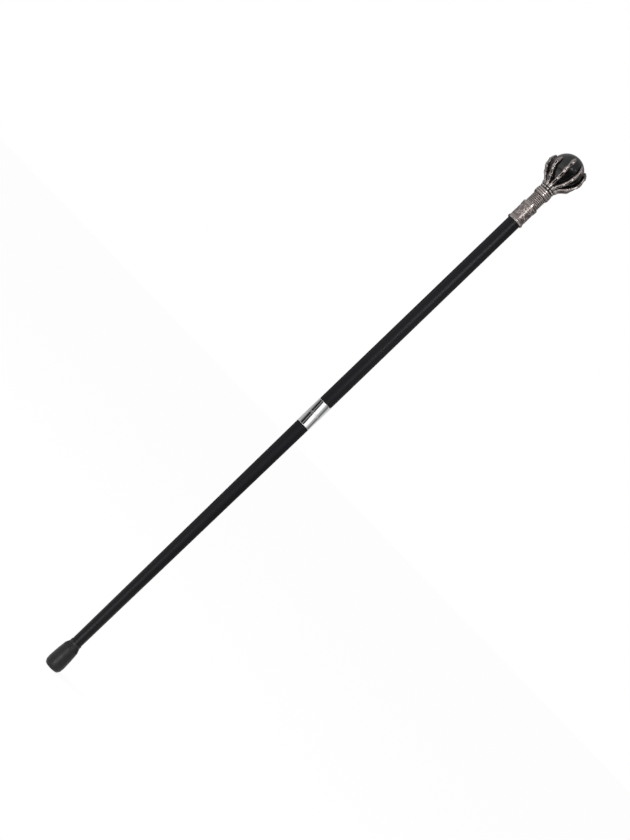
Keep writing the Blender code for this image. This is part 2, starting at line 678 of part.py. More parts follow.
def make_digit(name, angles, azimuths):
    """One cast digit: a loft of sections square to its centre line, wide at the joints, waisted and
    hollowed along each bone, drawn to a point at the end and flat where it lies on the ball."""
    stations = digit_stations()
    places, half_width, height, flute = stations.T
    points, ways = smooth_path(digit_nodes(angles), places)
    outwards = np.column_stack((ways[:, 1], -ways[:, 0]))
    turn = np.radians(np.interp(places, np.arange(len(azimuths)), azimuths))
    lift = np.linalg.norm(points, axis=1) - BALL_RADIUS
    theta = math.pi / 2 + math.tau * np.arange(DIGIT_SIDES) / DIGIT_SIDES
    across = half_width[:, None] * np.cos(theta)
    up = height[:, None] * np.sin(theta)
    up[:, 0] *= 1.0 - flute
    up = np.maximum(up, -(lift - SEAT_GAP)[:, None])
    radius = points[:, :1] + outwards[:, :1] * up
    level = points[:, 1:] + outwards[:, 1:] * up
    cos_turn = np.cos(turn)[:, None]
    sin_turn = np.sin(turn)[:, None]
    x = radius * sin_turn + across * cos_turn
    y = -radius * cos_turn + across * sin_turn
    vertices = np.stack((x, y, level), axis=2).reshape(-1, 3)
    mesh = bpy.data.meshes.new(name)
    mesh.from_pydata(vertices.tolist(), [], loft_faces(len(places), DIGIT_SIDES))
    mesh.shade_smooth()
    obj = bpy.data.objects.new(name, mesh)
    return place(obj, UPPER_FRAME, BALL_CENTRE, PEWTER, CANE)


def loft_faces(rings, sides, ends_meet=False):
    """Quads between rings of points. The last ring meets the first, or each end has a face."""
    faces = []
    for ring in range(rings if ends_meet else rings - 1):
        low = ring * sides
        high = (ring + 1) % rings * sides
        for k in range(sides):
            following = (k + 1) % sides
            faces.append((low + k, high + k, high + following, low + following))
    if not ends_meet:
        last = (rings - 1) * sides
        faces.append(tuple(range(sides)))
        faces.append(tuple(range(last, last + sides))[::-1])
    return faces


def make_ball():
    """The ball, with a bore in its underside for the insert."""
    build = bmesh.new()
    bmesh.ops.create_uvsphere(
        build, u_segments=2 * BALL_RINGS, v_segments=BALL_RINGS, radius=BALL_RADIUS
    )
    mesh = bpy.data.meshes.new("ball")
    build.to_mesh(mesh)
    build.free()
    mesh.shade_smooth()
    obj = place(bpy.data.objects.new("ball", mesh), UPPER_FRAME, BALL_CENTRE, BALL_BLACK, CANE)
    build = bmesh.new()
    bmesh.ops.create_cone(
        build,
        cap_ends=True,
        segments=ROD_STEPS,
        radius1=INSERT_RADIUS + SEAT_GAP,
        radius2=INSERT_RADIUS + SEAT_GAP,
        depth=2 * (INSERT_LENGTH + SEAT_GAP),
    )
    mesh = bpy.data.meshes.new("ball_bore")
    build.to_mesh(mesh)
    build.free()
    bore = bpy.data.objects.new("ball_bore", mesh)
    cut(obj, make_cutter(bore, UPPER_FRAME, BALL_FOOT))
    return obj


def make_ball_insert():
    """The brass insert in the ball, which the rod screws into."""
    sunk = BALL_RADIUS - math.sqrt(BALL_RADIUS**2 - INSERT_RADIUS**2) + SEAT_GAP
    outline = ring_outline(INSERT_RADIUS, ROD_HOLE, INSERT_LENGTH - sunk)
    height = BALL_FOOT + sunk
    return turned("ball_insert", outline, UPPER_FRAME, height, BRASS, steps=ROD_STEPS)


for old in list(bpy.data.objects):
    bpy.data.objects.remove(old, do_unlink=True)

CANE = new_collection("skeleton_hand_walking_cane")
CUTTERS = new_collection("cutters")
RUBBER = new_material("black rubber", (0.030, 0.030, 0.032), 0.0, 0.75)
BLACK = new_material("black satin lacquer", (0.012, 0.012, 0.014), 0.0, 0.38)
CHROME = new_material("chrome", (0.80, 0.80, 0.80), 1.0, 0.08)
PEWTER = new_material("antique pewter", (0.36, 0.32, 0.31), 1.0, 0.34)
BALL_BLACK = new_material("black ball", (0.025, 0.026, 0.026), 0.0, 0.42)
STEEL = new_material("zinc plated steel", (0.52, 0.52, 0.53), 1.0, 0.35)
BRASS = new_material("brass", (0.70, 0.52, 0.22), 1.0, 0.30)
FIBRE = new_material("black fibre", (0.04, 0.03, 0.03), 0.0, 0.80)

UPPER_FRAME = new_empty("upper_section_frame", SEAM_HEIGHT)
WASHER_FRAME = new_empty("joint_washer_frame", SEAM_HEIGHT)
LOWER_FRAME = new_empty("lower_section_frame", SEAM_HEIGHT)
TIP_FRAME = new_empty("tip_frame", 0.0)

make_rubber_tip()
make_tip_washer()
make_lower_shaft()
make_lower_collar()
make_joint_stud()
make_joint_washer()
make_upper_collar()
make_thread_bush()
make_upper_shaft()
make_head_rod()
make_engraved_collar()
make_wrist_core()
make_wrist_wrap()
make_wrist_band()
make_hand_base()
for digit in DIGITS:
    make_digit(*digit)
make_ball()
make_ball_insert()
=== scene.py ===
# %% [markdown]
# # A skeleton hand walking cane
#
# The cane is two black turned shafts, screwed together at a chrome joint, with a rubber tip at the foot
# and a knob in the form of a cast skeleton hand that holds a black ball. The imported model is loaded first.
# It holds every piece at its real size and place, in metres, with the origin at the centre of the ball, but
# in coarse facets and plain colours. This lesson makes the fine surfaces and the finishes around it.

# %% Load the frame
import json
import math

import bpy
import numpy as np
from mathutils import Matrix, Vector

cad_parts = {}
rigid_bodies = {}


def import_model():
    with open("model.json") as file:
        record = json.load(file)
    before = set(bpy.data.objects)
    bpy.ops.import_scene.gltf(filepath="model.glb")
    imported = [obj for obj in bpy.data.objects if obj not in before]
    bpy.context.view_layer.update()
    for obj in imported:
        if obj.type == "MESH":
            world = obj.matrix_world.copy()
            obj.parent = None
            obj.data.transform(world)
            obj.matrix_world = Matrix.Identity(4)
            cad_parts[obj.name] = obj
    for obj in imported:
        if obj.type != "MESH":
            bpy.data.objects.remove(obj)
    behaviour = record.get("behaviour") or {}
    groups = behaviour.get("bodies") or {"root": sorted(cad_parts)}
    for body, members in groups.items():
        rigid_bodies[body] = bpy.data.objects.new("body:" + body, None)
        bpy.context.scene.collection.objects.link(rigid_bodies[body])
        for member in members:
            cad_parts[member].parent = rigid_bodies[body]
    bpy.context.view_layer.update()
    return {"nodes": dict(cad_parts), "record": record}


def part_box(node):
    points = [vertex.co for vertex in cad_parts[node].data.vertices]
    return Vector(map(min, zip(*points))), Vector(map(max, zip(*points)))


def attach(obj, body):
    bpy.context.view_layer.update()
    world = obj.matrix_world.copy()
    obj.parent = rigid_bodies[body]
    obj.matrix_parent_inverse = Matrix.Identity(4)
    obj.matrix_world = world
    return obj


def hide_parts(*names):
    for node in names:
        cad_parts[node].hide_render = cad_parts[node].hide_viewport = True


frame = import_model()

# %% [markdown]
# ## Sizes
#
# Most places come from the frame: a turned piece stands where its node's box says. The radii and walls
# that a box can't tell are written here in millimetres, once, with the names that a turner would use.

# %% Sizes and levels
MM = 0.001
GAP = 0.3 * MM  # between pieces that are seated on each other
SHAFT_RADIUS = 9.5 * MM
ROD_HOLE = 3.3 * MM
STUD_RADIUS = 3.8 * MM
TURN_STEPS = 128


def span(node):
    """Lowest and highest level of a piece of the frame."""
    low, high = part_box(node)
    return low.z, high.z


SEAM = span("lower_collar")[1]
GROUND = span("rubber_tip")[0]
BALL_RADIUS = span("ball")[1]
NECK = span("hand_base")[0]
print(f"ball {2 * BALL_RADIUS / MM:.1f} mm, seam at {SEAM / MM:.1f} mm, ground at {GROUND / MM:.1f} mm")

# %% [markdown]
# ## From a grid of points to a mesh
#
# Every new surface below is a grid: rows run along the piece and columns run round it. Modifiers could
# turn or thicken hand-made meshes instead, but a grid lets one formula give the shape, its finish and its
# size at once. A grid either closes into a ring, last row to first row, as a washer does, or ends in two
# poles, as a ball does. A closed surface has a signed volume, the sum of a . (b x c) / 6 over its
# triangles, which is positive only when the faces point outwards, so a grid that was wound the wrong way
# is turned over here and nowhere else.

# %% Mesh helpers
SHARP_EDGE = math.radians(40)
BODY_OF = {node: body for body, nodes in frame["record"]["behaviour"]["bodies"].items() for node in nodes}


def grid_faces(rows, columns, ring):
    """Corner numbers of a grid's quads. The last column meets the first, and in a ring so do the rows."""
    row = np.arange(rows if ring else rows - 1)[:, None]
    column = np.arange(columns)
    beside = (column + 1) % columns
    above = (row + 1) % rows
    corners = (
        row * columns + column,
        above * columns + column,
        above * columns + beside,
        row * columns + beside,
    )
    return np.stack(np.broadcast_arrays(*corners), axis=-1).reshape(-1, 4)


def pole_faces(rows, columns):
    """Triangles that close the first and the last row to the two poles, numbered after the grid."""
    near = np.arange(columns)
    beside = (near + 1) % columns
    last = (rows - 1) * columns
    pole = np.full(columns, rows * columns)
    start = np.stack((near, beside, pole), axis=1)
    end = np.stack((last + beside, last + near, pole + 1), axis=1)
    return np.vstack((start, end))


def signed_volume(vertices, faces):
    """The sum of a . (b x c) / 6 over the triangles (0, k - 1, k) that fan out over each face."""
    total = 0.0
    for k in range(2, faces.shape[1]):
        a, b, c = vertices[faces[:, 0]], vertices[faces[:, k - 1]], vertices[faces[:, k]]
        total += np.einsum("ij,ij->", a, np.cross(b, c)) / 6.0
    return total


def add_piece(node, points, finish, ring=False, poles=None, crest_and_painted_shade=None):
    """Makes the fine surface of one node from a (rows, columns, 3) grid and lets it stand for the node.
    Poles are the two end points, or the middles of the end rows. The crest number is 0 in hollows and 1
    on high ground, one number for each point, for the patina; on some pieces it is also lowered for painted
    shade where the piece lies under or against another part."""
    rows, columns = points.shape[:2]
    vertices = points.reshape(-1, 3)
    quads, triangles = grid_faces(rows, columns, ring), np.empty((0, 3), int)
    shade = None if crest_and_painted_shade is None else np.broadcast_to(crest_and_painted_shade, (rows, columns)).ravel()
    if not ring:
        triangles = pole_faces(rows, columns)
        vertices = np.vstack((vertices, points[[0, -1]].mean(axis=1) if poles is None else poles))
        if shade is not None:
            shade = np.append(shade, (shade[:columns].mean(), shade[-columns:].mean()))
    volume = signed_volume(vertices, quads) + signed_volume(vertices, triangles)
    if volume < 0.0:
        quads, triangles = quads[:, ::-1], triangles[:, ::-1]
    mesh = bpy.data.meshes.new(node + "_fine")
    mesh.from_pydata(vertices.tolist(), [], quads.tolist() + triangles.tolist())
    mesh.shade_smooth()
    mesh.set_sharp_from_angle(angle=SHARP_EDGE)
    if shade is not None:
        mesh.attributes.new("crest_and_painted_shade", "FLOAT", "POINT").data.foreach_set("value", shade)
    mesh.materials.append(finish)
    piece = bpy.data.objects.new(node + "_fine", mesh)
    bpy.context.scene.collection.objects.link(piece)
    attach(piece, BODY_OF[node])
    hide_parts(node)
    print(f"{piece.name}: {len(vertices)} points, {abs(volume) / MM**3 / 1000:.2f} cubic cm")


# %% [markdown]
# ## Turned outlines
#
# A lathe piece is an outline of radius and height, swept round the axis. Real edges are never sharp, and
# it is the small rounds that catch the light, so a corner may carry a third number, its round. A Bevel
# modifier would give all edges the same one. Each corner is a complex number here, radius + i height:
# then an arc is a start vector times e to the i angle. Smooth shading bends a long straight side towards
# the rounds at its ends, which a mirror finish would show, so each long side also gets a point just inside
# each of its ends.

# %% Turned pieces
ARC_STEP = math.radians(9)
MOST_SETBACK = 0.45  # share of a side that one round may use
HOLD = 0.12 * MM  # from the end of a side to the point that holds it straight
LONG_SIDE = 8 * HOLD


def arc_at(before, here, after, fillet):
    """The round of one corner. It touches both sides at the same setback from the corner, and its centre
    lies on the line that halves the corner."""
    to_before, to_after = before - here, after - here
    half = abs(np.angle(to_after / to_before)) / 2
    setback = min(fillet / math.tan(half), MOST_SETBACK * min(abs(to_before), abs(to_after)))
    radius = setback * math.tan(half)
    way_before, way_after = to_before / abs(to_before), to_after / abs(to_after)
    middle = way_before + way_after
    centre = here + middle / abs(middle) * radius / math.sin(half)
    start = here + way_before * setback - centre
    turn = np.angle((here + way_after * setback - centre) / start)
    steps = max(2, math.ceil(abs(turn) / ARC_STEP))
    return centre + start * np.exp(1j * turn * np.linspace(0.0, 1.0, steps + 1))


def held(line, closed):
    """The line with a point more, HOLD inside each end of every long side."""
    after = np.roll(line, -1)
    length = np.abs(after - line)
    way = (after - line) / np.maximum(length, HOLD)
    long_side = length > LONG_SIDE
    long_side[-1] &= closed
    points = np.stack((line, line + way * HOLD, after - way * HOLD), axis=1)
    keep = np.stack((np.ones(len(line), bool), long_side, long_side), axis=1)
    return points[keep]


def outline(corners, closed=False):
    """Points radius + i height of an outline, its corners rounded where they have a third number."""
    places = [complex(corner[0], corner[1]) for corner in corners]
    parts = []
    for i, corner in enumerate(corners):
        inside = closed or 0 < i < len(corners) - 1
        if len(corner) == 3 and inside:
            after = places[(i + 1) % len(places)]
            parts.append(arc_at(places[i - 1], places[i], after, corner[2]))
        else:
            parts.append(np.array(places[i : i + 1]))
    return held(np.concatenate(parts), closed)


def round_grid(radius, angle, level):
    """The grid (r cos a, r sin a, z), with a radius at every level and angle."""
    radius, level = np.broadcast_arrays(radius, level[:, None])
    return np.stack((radius * np.cos(angle), radius * np.sin(angle), level), axis=-1)


def turned_grid(line, steps=TURN_STEPS):
    """An outline turned once round the axis."""
    angle = math.tau * np.arange(steps) / steps
    return round_grid(np.repeat(line.real[:, None], steps, axis=1), angle, line.imag)


def add_turned(node, corners, finish, closed=True, crest_and_painted_shade=None, level=0.0):
    """A turned piece. A closed outline makes a ring, and an open one starts and ends on the axis."""
    line = outline(corners, closed) + 1j * level
    poles = np.array([(0.0, 0.0, line[0].imag), (0.0, 0.0, line[-1].imag)])
    grid = turned_grid(line if closed else line[1:-1])
    add_piece(node, grid, finish, ring=closed, poles=poles, crest_and_painted_shade=crest_and_painted_shade)


# %% [markdown]
# ## Finishes
#
# Each finish is a Principled shader with a few nodes in front of it. A picture could be wrapped round
# each piece instead, but noise that is worked out in space has no seams and stays sharp up close. The
# patterns read Object coordinates, in metres, so a scale of 1000 has features about a millimetre wide.
# Gloss and reflections are left to the shader and the lights.

# %% Node helpers
WHITE = (1.0, 1.0, 1.0, 1.0)
BLACK = (0.0, 0.0, 0.0, 1.0)


def set_inputs(tree, node, inputs):
    """Sets each input of a node to its value, or joins it where the value is another node's output."""
    for name, value in inputs.items():
        if isinstance(value, bpy.types.NodeSocket):
            tree.links.new(value, node.inputs[name])
        else:
            node.inputs[name].default_value = value


def add_node(tree, kind, inputs=None):
    """A new node of a kind, with these inputs."""
    node = tree.nodes.new("ShaderNode" + kind)
    set_inputs(tree, node, inputs or {})
    return node


def new_finish(name):
    """A new material and its node tree, which starts with one Principled shader."""
    material = bpy.data.materials.new(name)
    material.use_nodes = True
    return material, material.node_tree


def set_shader(tree, inputs):
    """Sets or joins inputs of the Principled shader."""
    set_inputs(tree, tree.nodes["Principled BSDF"], inputs)


def add_noise(tree, scale, detail=3.0, squeeze=1.0):
    """Noise on Object coordinates, squeezed along the axis."""
    place = add_node(tree, "TexCoord").outputs["Object"]
    mapping = add_node(tree, "Mapping", {"Vector": place, "Scale": (1.0, 1.0, squeeze)})
    inputs = {"Vector": mapping.outputs["Vector"], "Scale": scale, "Detail": detail}
    return add_node(tree, "TexNoise", inputs).outputs["Fac"]


def add_ramp(tree, source, stops):
    """Colours that change with a number: stops are (number, colour)."""
    ramp = add_node(tree, "ValToRGB", {"Fac": source})
    elements = ramp.color_ramp.elements
    while len(elements) < len(stops):
        elements.new(0.5)
    for element, (place, colour) in zip(elements, stops):
        element.position = place
        element.color = (*colour, 1.0)
    return ramp.outputs["Color"]


def add_range(tree, source, low, high, start=0.3, end=0.7):
    """A number between low and high, as the source goes from start to end."""
    inputs = {"Value": source, "From Min": start, "From Max": end, "To Min": low, "To Max": high}
    return add_node(tree, "MapRange", inputs).outputs["Result"]


def add_math(tree, operation, first, second):
    """One Math node on the outputs of two others."""
    node = add_node(tree, "Math", {0: first, 1: second})
    node.operation = operation
    return node.outputs["Value"]


def set_looks(tree, colour, roughness, height, depth):
    """Joins a colour, a roughness and a bump of a depth in metres to the shader."""
    bump = add_node(tree, "Bump", {"Height": height, "Distance": depth})
    set_shader(tree, {"Base Color": colour, "Roughness": roughness, "Normal": bump.outputs["Normal"]})


def make_finish(name, colours, gloss, cloud, grain, depth, metallic=0.0, shine=0.5, patchy=False):
    """A finish with two noises, each given by its scale, detail and squeeze: a cloud that takes the colour
    from the first to the second, and a grain that is a bump of that depth. The roughness follows the
    grain, or the cloud where the gloss is patchy. Shine is the specular level."""
    material, tree = new_finish(name)
    cloud, grain = add_noise(tree, *cloud), add_noise(tree, *grain)
    colour = add_ramp(tree, cloud, list(zip((0.3, 0.7), colours)))
    set_looks(tree, colour, add_range(tree, cloud if patchy else grain, *gloss), grain, depth)
    set_shader(tree, {"Metallic": metallic, "Specular IOR Level": shine})
    print(name, "has", len(tree.nodes), "nodes")
    return material


# %% [markdown]
# ## Satin black lacquer, rubber and the ball
#
# The shafts are sprayed a satin black that holds a soft, broad reflection. Sprayed lacquer has a faint
# orange peel and a gloss that changes a little from place to place. The rubber tip is duller and has a
# moulded grain, and the ball is a smoother, slightly warmer black that keeps small glints. One plain
# black would do from far off, but these small differences are what tells the three apart.

# %% Black finishes
LACQUER = make_finish(
    "satin_black_lacquer", ((0.0040, 0.0040, 0.0058), (0.0052, 0.0052, 0.0072)), (0.34, 0.40),
    cloud=(55.0, 3.0, 0.25), grain=(900.0, 1.0), depth=0.003 * MM, shine=0.17, patchy=True,
)
RUBBER = make_finish(
    "moulded_black_rubber", ((0.013, 0.013, 0.014), (0.017, 0.017, 0.018)), (0.37, 0.43),
    cloud=(160.0,), grain=(2600.0, 2.0), depth=0.006 * MM, shine=0.25, patchy=True,
)
BALL_BLACK = make_finish(
    "black_ball_finish", ((0.0080, 0.0086, 0.0084), (0.0092, 0.0098, 0.0096)), (0.15, 0.19),
    cloud=(40.0, 1.0), grain=(1800.0, 1.0), depth=0.002 * MM, shine=0.6,
)

# %% [markdown]
# ## Antique metal
#
# The hand and the sleeve are cast in white metal, blackened all over and then rubbed back, so that the
# high ground is bright and the hollows stay dark. A Pointiness node could guess where the high ground is,
# but the shape itself knows: each cast piece below stores a number in its mesh, high on the crests and low
# in the hollows. On some pieces the same number is also lowered where the piece lies under the ball, faces
# it or lies against the barrel, and that dark is painted shade, not patina. This finish reads it and
# breaks it up with two noises, so that the rubbing doesn't look even.

# %% Antique metal
def make_antique_metal():
    material, tree = new_finish("antique_metal_finish")
    crest_and_painted_shade = add_node(tree, "Attribute")
    crest_and_painted_shade.attribute_name = "crest_and_painted_shade"
    cloud, pits = add_noise(tree, 260.0), add_noise(tree, 1500.0)
    # Low values darken the colour: in the hollows this is patina, and where a piece lies under or against
    # another part it is painted shade.
    wear_and_painted_shade = add_math(tree, "ADD", crest_and_painted_shade.outputs["Fac"], add_range(tree, cloud, -0.08, 0.08))
    wear_and_painted_shade = add_math(tree, "ADD", wear_and_painted_shade, add_range(tree, pits, -0.05, 0.05))
    colour = add_ramp(tree, wear_and_painted_shade, [
        (0.05, (0.014, 0.010, 0.009)),
        (0.30, (0.130, 0.107, 0.101)),
        (0.60, (0.330, 0.293, 0.281)),
        (1.00, (0.520, 0.470, 0.450)),
    ])
    roughness = add_range(tree, wear_and_painted_shade, 0.38, 0.17, start=0.1, end=0.7)
    set_looks(tree, colour, roughness, pits, 0.015 * MM)
    set_shader(tree, {"Metallic": 1.0})
    return material


ANTIQUE = make_antique_metal()
print("antique metal has", len(ANTIQUE.node_tree.nodes), "nodes")

# %% [markdown]
# ## Chrome, steel, brass and fibre
#
# Chrome is almost a mirror. Polishing on the lathe leaves hairlines that run round a piece, and a noise
# that is squeezed along the axis gives them without a picture. Steel, brass and the fibre washer show
# only when the cane is unscrewed.

# %% Bright metals and fibre
def make_metal(name, colours, gloss, squeeze):
    """A turned metal: a faint cloud, and hairlines that are finer the more they are squeezed."""
    hairlines = (120.0, 4.0, squeeze)
    return make_finish(name, colours, gloss, (120.0,), hairlines, 0.001 * MM, metallic=1.0)


CHROME = make_metal("polished_chrome", ((0.78, 0.785, 0.79), (0.83, 0.83, 0.825)), (0.03, 0.06), 30.0)
STEEL = make_metal("zinc_plated_steel", ((0.46, 0.46, 0.47), (0.58, 0.58, 0.57)), (0.28, 0.42), 8.0)
BRASS = make_metal("turned_brass", ((0.62, 0.44, 0.18), (0.76, 0.58, 0.26)), (0.24, 0.36), 12.0)
FIBRE = make_finish(
    "pressed_fibre", ((0.030, 0.024, 0.022), (0.065, 0.055, 0.050)), (0.70, 0.90),
    cloud=(900.0,), grain=(900.0,), depth=0.02 * MM, shine=0.3,
)
HIDDEN = {"tip_washer": STEEL, "head_rod": STEEL, "thread_bush": BRASS, "ball_insert": BRASS}
for node, finish in HIDDEN.items():
    mesh = frame["nodes"][node].data
    mesh.materials.clear()
    mesh.materials.append(finish)
print("other pieces hide these, so the frame's own stay:", ", ".join(HIDDEN))

# %% [markdown]
# ## Rubber tip
#
# A cane's ferrule is moulded in one: a thin neck that grips the shaft, a round shoulder, a slightly
# hollow wall that flares to the foot, and a flat tread with two grooves. Inside it is bored to the
# shaft's taper. A Boolean modifier could cut the bore, but one outline, turned round the axis, holds wall,
# bore and tread and leaves an even mesh.

# %% Rubber tip
SHAFT_FOOT = span("lower_shaft")[0]
COLLAR_LENGTH = 19.3 * MM
FOOT_RADIUS = 7.5 * MM
TREAD_RADII = (8.0 * MM, 4.5 * MM)
TREAD_HALF = 0.6 * MM
TREAD_DEPTH = 0.8 * MM


def shaft_radius(level):
    """The lower shaft's radius: a straight taper from the collar to its foot."""
    share = (level - SHAFT_FOOT) / (SEAM - COLLAR_LENGTH - SHAFT_FOOT)
    return FOOT_RADIUS + (SHAFT_RADIUS - FOOT_RADIUS) * share


def make_tip():
    top = span("rubber_tip")[1] - GROUND
    neck, shoulder = top - 5.3 * MM, top - 9.7 * MM
    floor_level = span("tip_washer")[0] - GAP - GROUND
    mouth = shaft_radius(GROUND + top) + GAP
    wall = shaft_radius(GROUND + neck) + GAP
    foot = wall + 4.7 * MM
    corners = [
        (0.0, floor_level),
        (shaft_radius(SHAFT_FOOT) + GAP, floor_level),
        (mouth, top, 0.1 * MM),
        (mouth + 0.3 * MM, top, 0.2 * MM),
        (wall + 0.4 * MM, neck + 1.8 * MM, 3.0 * MM),
        (wall + 1.1 * MM, neck, 1.2 * MM),
        (wall + 2.9 * MM, shoulder, 0.4 * MM),
        (foot - 0.6 * MM, 22.0 * MM, 20.0 * MM),
        (foot, 9.5 * MM, 8.0 * MM),
        (foot - 0.5 * MM, 3.6 * MM, 3.5 * MM),
        (10.0 * MM, 0.0, 1.2 * MM),
    ]
    for radius in TREAD_RADII:
        corners += [
            (radius + TREAD_HALF, 0.0, 0.2 * MM),
            (radius + TREAD_HALF, TREAD_DEPTH, 0.15 * MM),
            (radius - TREAD_HALF, TREAD_DEPTH, 0.15 * MM),
            (radius - TREAD_HALF, 0.0, 0.2 * MM),
        ]
    corners.append((0.0, 0.0))
    add_turned("rubber_tip", corners, RUBBER, closed=False, level=GROUND)


make_tip()

# %% [markdown]
# ## Shafts
#
# Both shafts are plain turned wood. The lower one tapers to its foot. Each ends at the joint in a thinner
# tenon, which the chrome cup covers, and the bores inside take the stud, the bush and the rod. A plain
# cylinder would look the same from outside, but it would fill the places of the pieces inside it.

# %% Shafts
COLLAR_RADIUS = SHAFT_RADIUS + 0.2 * MM
COLLAR_BORE = COLLAR_RADIUS - 1.4 * MM
TENON = COLLAR_BORE - GAP
ROUND = 0.5 * MM


def make_shafts():
    foot, top = span("lower_shaft")
    shoulder = SEAM - COLLAR_LENGTH - GAP
    bore = STUD_RADIUS + GAP
    bore_floor = span("joint_stud")[0] - GAP
    lower = [
        (0.0, bore_floor),
        (bore, bore_floor),
        (bore, top),
        (TENON, top, ROUND),
        (TENON, shoulder),
        (shaft_radius(shoulder), shoulder, ROUND / 2),
        (shaft_radius(foot), foot, ROUND),
        (0.0, foot),
    ]
    add_turned("lower_shaft", lower, LACQUER, closed=False)
    foot, top = span("upper_shaft")
    shoulder = SEAM + COLLAR_LENGTH + GAP
    bush_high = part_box("thread_bush")[1]
    bush = bush_high.x + GAP
    rod_floor = span("head_rod")[0] - GAP
    upper = [
        (0.0, rod_floor),
        (ROD_HOLE, rod_floor),
        (ROD_HOLE, top),
        (SHAFT_RADIUS, top, ROUND),
        (SHAFT_RADIUS, shoulder, ROUND / 2),
        (TENON, shoulder),
        (TENON, foot),
        (bush, foot),
        (bush, bush_high.z + GAP),
        (0.0, bush_high.z + GAP),
    ]
    add_turned("upper_shaft", upper, LACQUER, closed=False)


make_shafts()

# %% [markdown]
# ## Chrome joint
#
# Two drawn cups cover the ends of the shafts. Their rims meet in a fine seam, each with a raised lip
# hardly thicker than a sheet of paper, which shows only because a mirror finish bends its reflections.
# The upper cup's face is recessed for the fibre washer, and the lower cup has a web that clamps the stud.

# %% Chrome collars and washer
LIP = 0.18 * MM
LIP_HEIGHT = 1.4 * MM
LIP_ROUND = 0.05 * MM
SEAM_GAP = 0.14 * MM  # the rims all but touch
WEB = 2.4 * MM
WASHER_RADIUS = COLLAR_RADIUS - 0.9 * MM - GAP
STUD_HOLE = STUD_RADIUS + 0.4 * MM + GAP


def make_collars():
    hole = STUD_RADIUS + GAP
    lip = COLLAR_RADIUS + LIP
    lower = [
        (lip, 0.0, LIP_ROUND),
        (lip, -LIP_HEIGHT, LIP_ROUND),
        (COLLAR_RADIUS, -LIP_HEIGHT, LIP_ROUND),
        (COLLAR_RADIUS, -COLLAR_LENGTH, 0.3 * MM),
        (COLLAR_BORE, -COLLAR_LENGTH),
        (COLLAR_BORE, -WEB),
        (hole, -WEB),
        (hole, 0.0, 0.2 * MM),
    ]
    add_turned("lower_collar", lower, CHROME, level=SEAM)
    washer_low, washer_high = span("joint_washer")
    recess = WASHER_RADIUS + GAP
    recess_top = washer_high - SEAM + GAP
    upper = [
        (COLLAR_RADIUS, COLLAR_LENGTH, 0.3 * MM),
        (COLLAR_RADIUS, LIP_HEIGHT, LIP_ROUND),
        (lip, LIP_HEIGHT, LIP_ROUND),
        (lip, SEAM_GAP, LIP_ROUND),
        (recess, SEAM_GAP, 0.1 * MM),
        (recess, recess_top),
        (STUD_HOLE, recess_top),
        (STUD_HOLE, recess_top + WEB),
        (COLLAR_BORE, recess_top + WEB),
        (COLLAR_BORE, COLLAR_LENGTH),
    ]
    add_turned("upper_collar", upper, CHROME, level=SEAM)
    edge = 0.15 * MM
    washer = [
        (WASHER_RADIUS, washer_high, edge),
        (WASHER_RADIUS, washer_low, edge),
        (STUD_HOLE, washer_low, edge),
        (STUD_HOLE, washer_high, edge),
    ]
    add_turned("joint_washer", washer, FIBRE)


make_collars()

# %% [markdown]
# ## Threaded stud
#
# The frame's stud is a plain cylinder. The real one has an M8 thread, which is seen when the cane is
# taken apart. A Screw modifier could wind its profile, but its ends would stay open. Here the thread is a
# height field on a cylinder: the radius rises and falls once for every pitch along the axis, and the
# phase moves by one pitch in each turn, which makes the ridge a right-hand helix.

# %% Joint stud
THREAD_PITCH = 1.25 * MM
THREAD_OUTER = 4.0 * MM
THREAD_ROOT = 3.3 * MM
STUD_ROW = 0.09 * MM
STUD_COLUMNS = 72
CHAMFER = 1.0 * MM
FLANGE = 1.2 * MM
FLANGE_EDGE = 0.2 * MM


def thread_radius(level, angle, end):
    """Radius at each level and angle: a flat-topped ridge 2 |p - 1/2| of the phase p = level / pitch
    - angle / full turn, drawn in to a cone at the end."""
    phase = (level[:, None] / THREAD_PITCH - angle / math.tau) % 1.0
    ridge = np.clip(1.35 * (1.0 - 2.0 * np.abs(phase - 0.5)) - 0.15, 0.0, 1.0)
    depth = THREAD_OUTER - THREAD_ROOT
    cone = THREAD_ROOT + np.abs(level - end)[:, None] * depth / CHAMFER
    return np.minimum(THREAD_ROOT + depth * ridge, cone)


def make_stud():
    foot, top = span("joint_stud")
    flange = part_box("joint_stud")[1].x
    flange_top = SEAM - WEB - GAP
    flange_foot = flange_top - FLANGE
    angle = math.tau * np.arange(STUD_COLUMNS) / STUD_COLUMNS
    upper = np.arange(top, flange_top, -STUD_ROW)
    lower = np.arange(flange_foot, foot, -STUD_ROW)
    rim = np.array([flange_top, flange_top - FLANGE_EDGE, flange_foot + FLANGE_EDGE, flange_foot])
    rim_radius = flange - FLANGE_EDGE * np.array([[1.0], [0.0], [0.0], [1.0]])
    radius = np.vstack((
        thread_radius(upper, angle, top),
        np.repeat(rim_radius, STUD_COLUMNS, axis=1),
        thread_radius(lower, angle, foot),
    ))
    add_piece("joint_stud", round_grid(radius, angle, np.concatenate((upper, rim, lower))), STEEL)


make_stud()

# %% [markdown]
# ## Relief sleeve
#
# The pewter sleeve over the top of the shaft has a flared bead at its foot, a plain rim at its top and a
# worn scroll relief between them. A bump pattern would be lost in the finished mesh, so the relief is a
# height field as well. A stroke of the carver is an arc or a spiral with a width that swells and fades,
# and its height is that of a round bar half sunk in the wall: the root of 1 - (distance / half-width)
# squared. The strokes fill one panel, a quarter of the way round, and the panel repeats with every other
# one turned upside down.

# %% Relief strokes
PANELS = 4
PANEL_COLUMNS = 120
SLEEVE_BODY = 10.5 * MM
SLEEVE_GROUND = 10.22 * MM
PANEL_WIDTH = math.tau * SLEEVE_BODY / PANELS
RELIEF_LOW = 5.4 * MM  # above the sleeve's foot
RELIEF_HIGH = 26.2 * MM
STROKE_SAMPLES = 48
FULL_HALF_WIDTH = 0.74  # in millimetres, from which a stroke reaches its full height
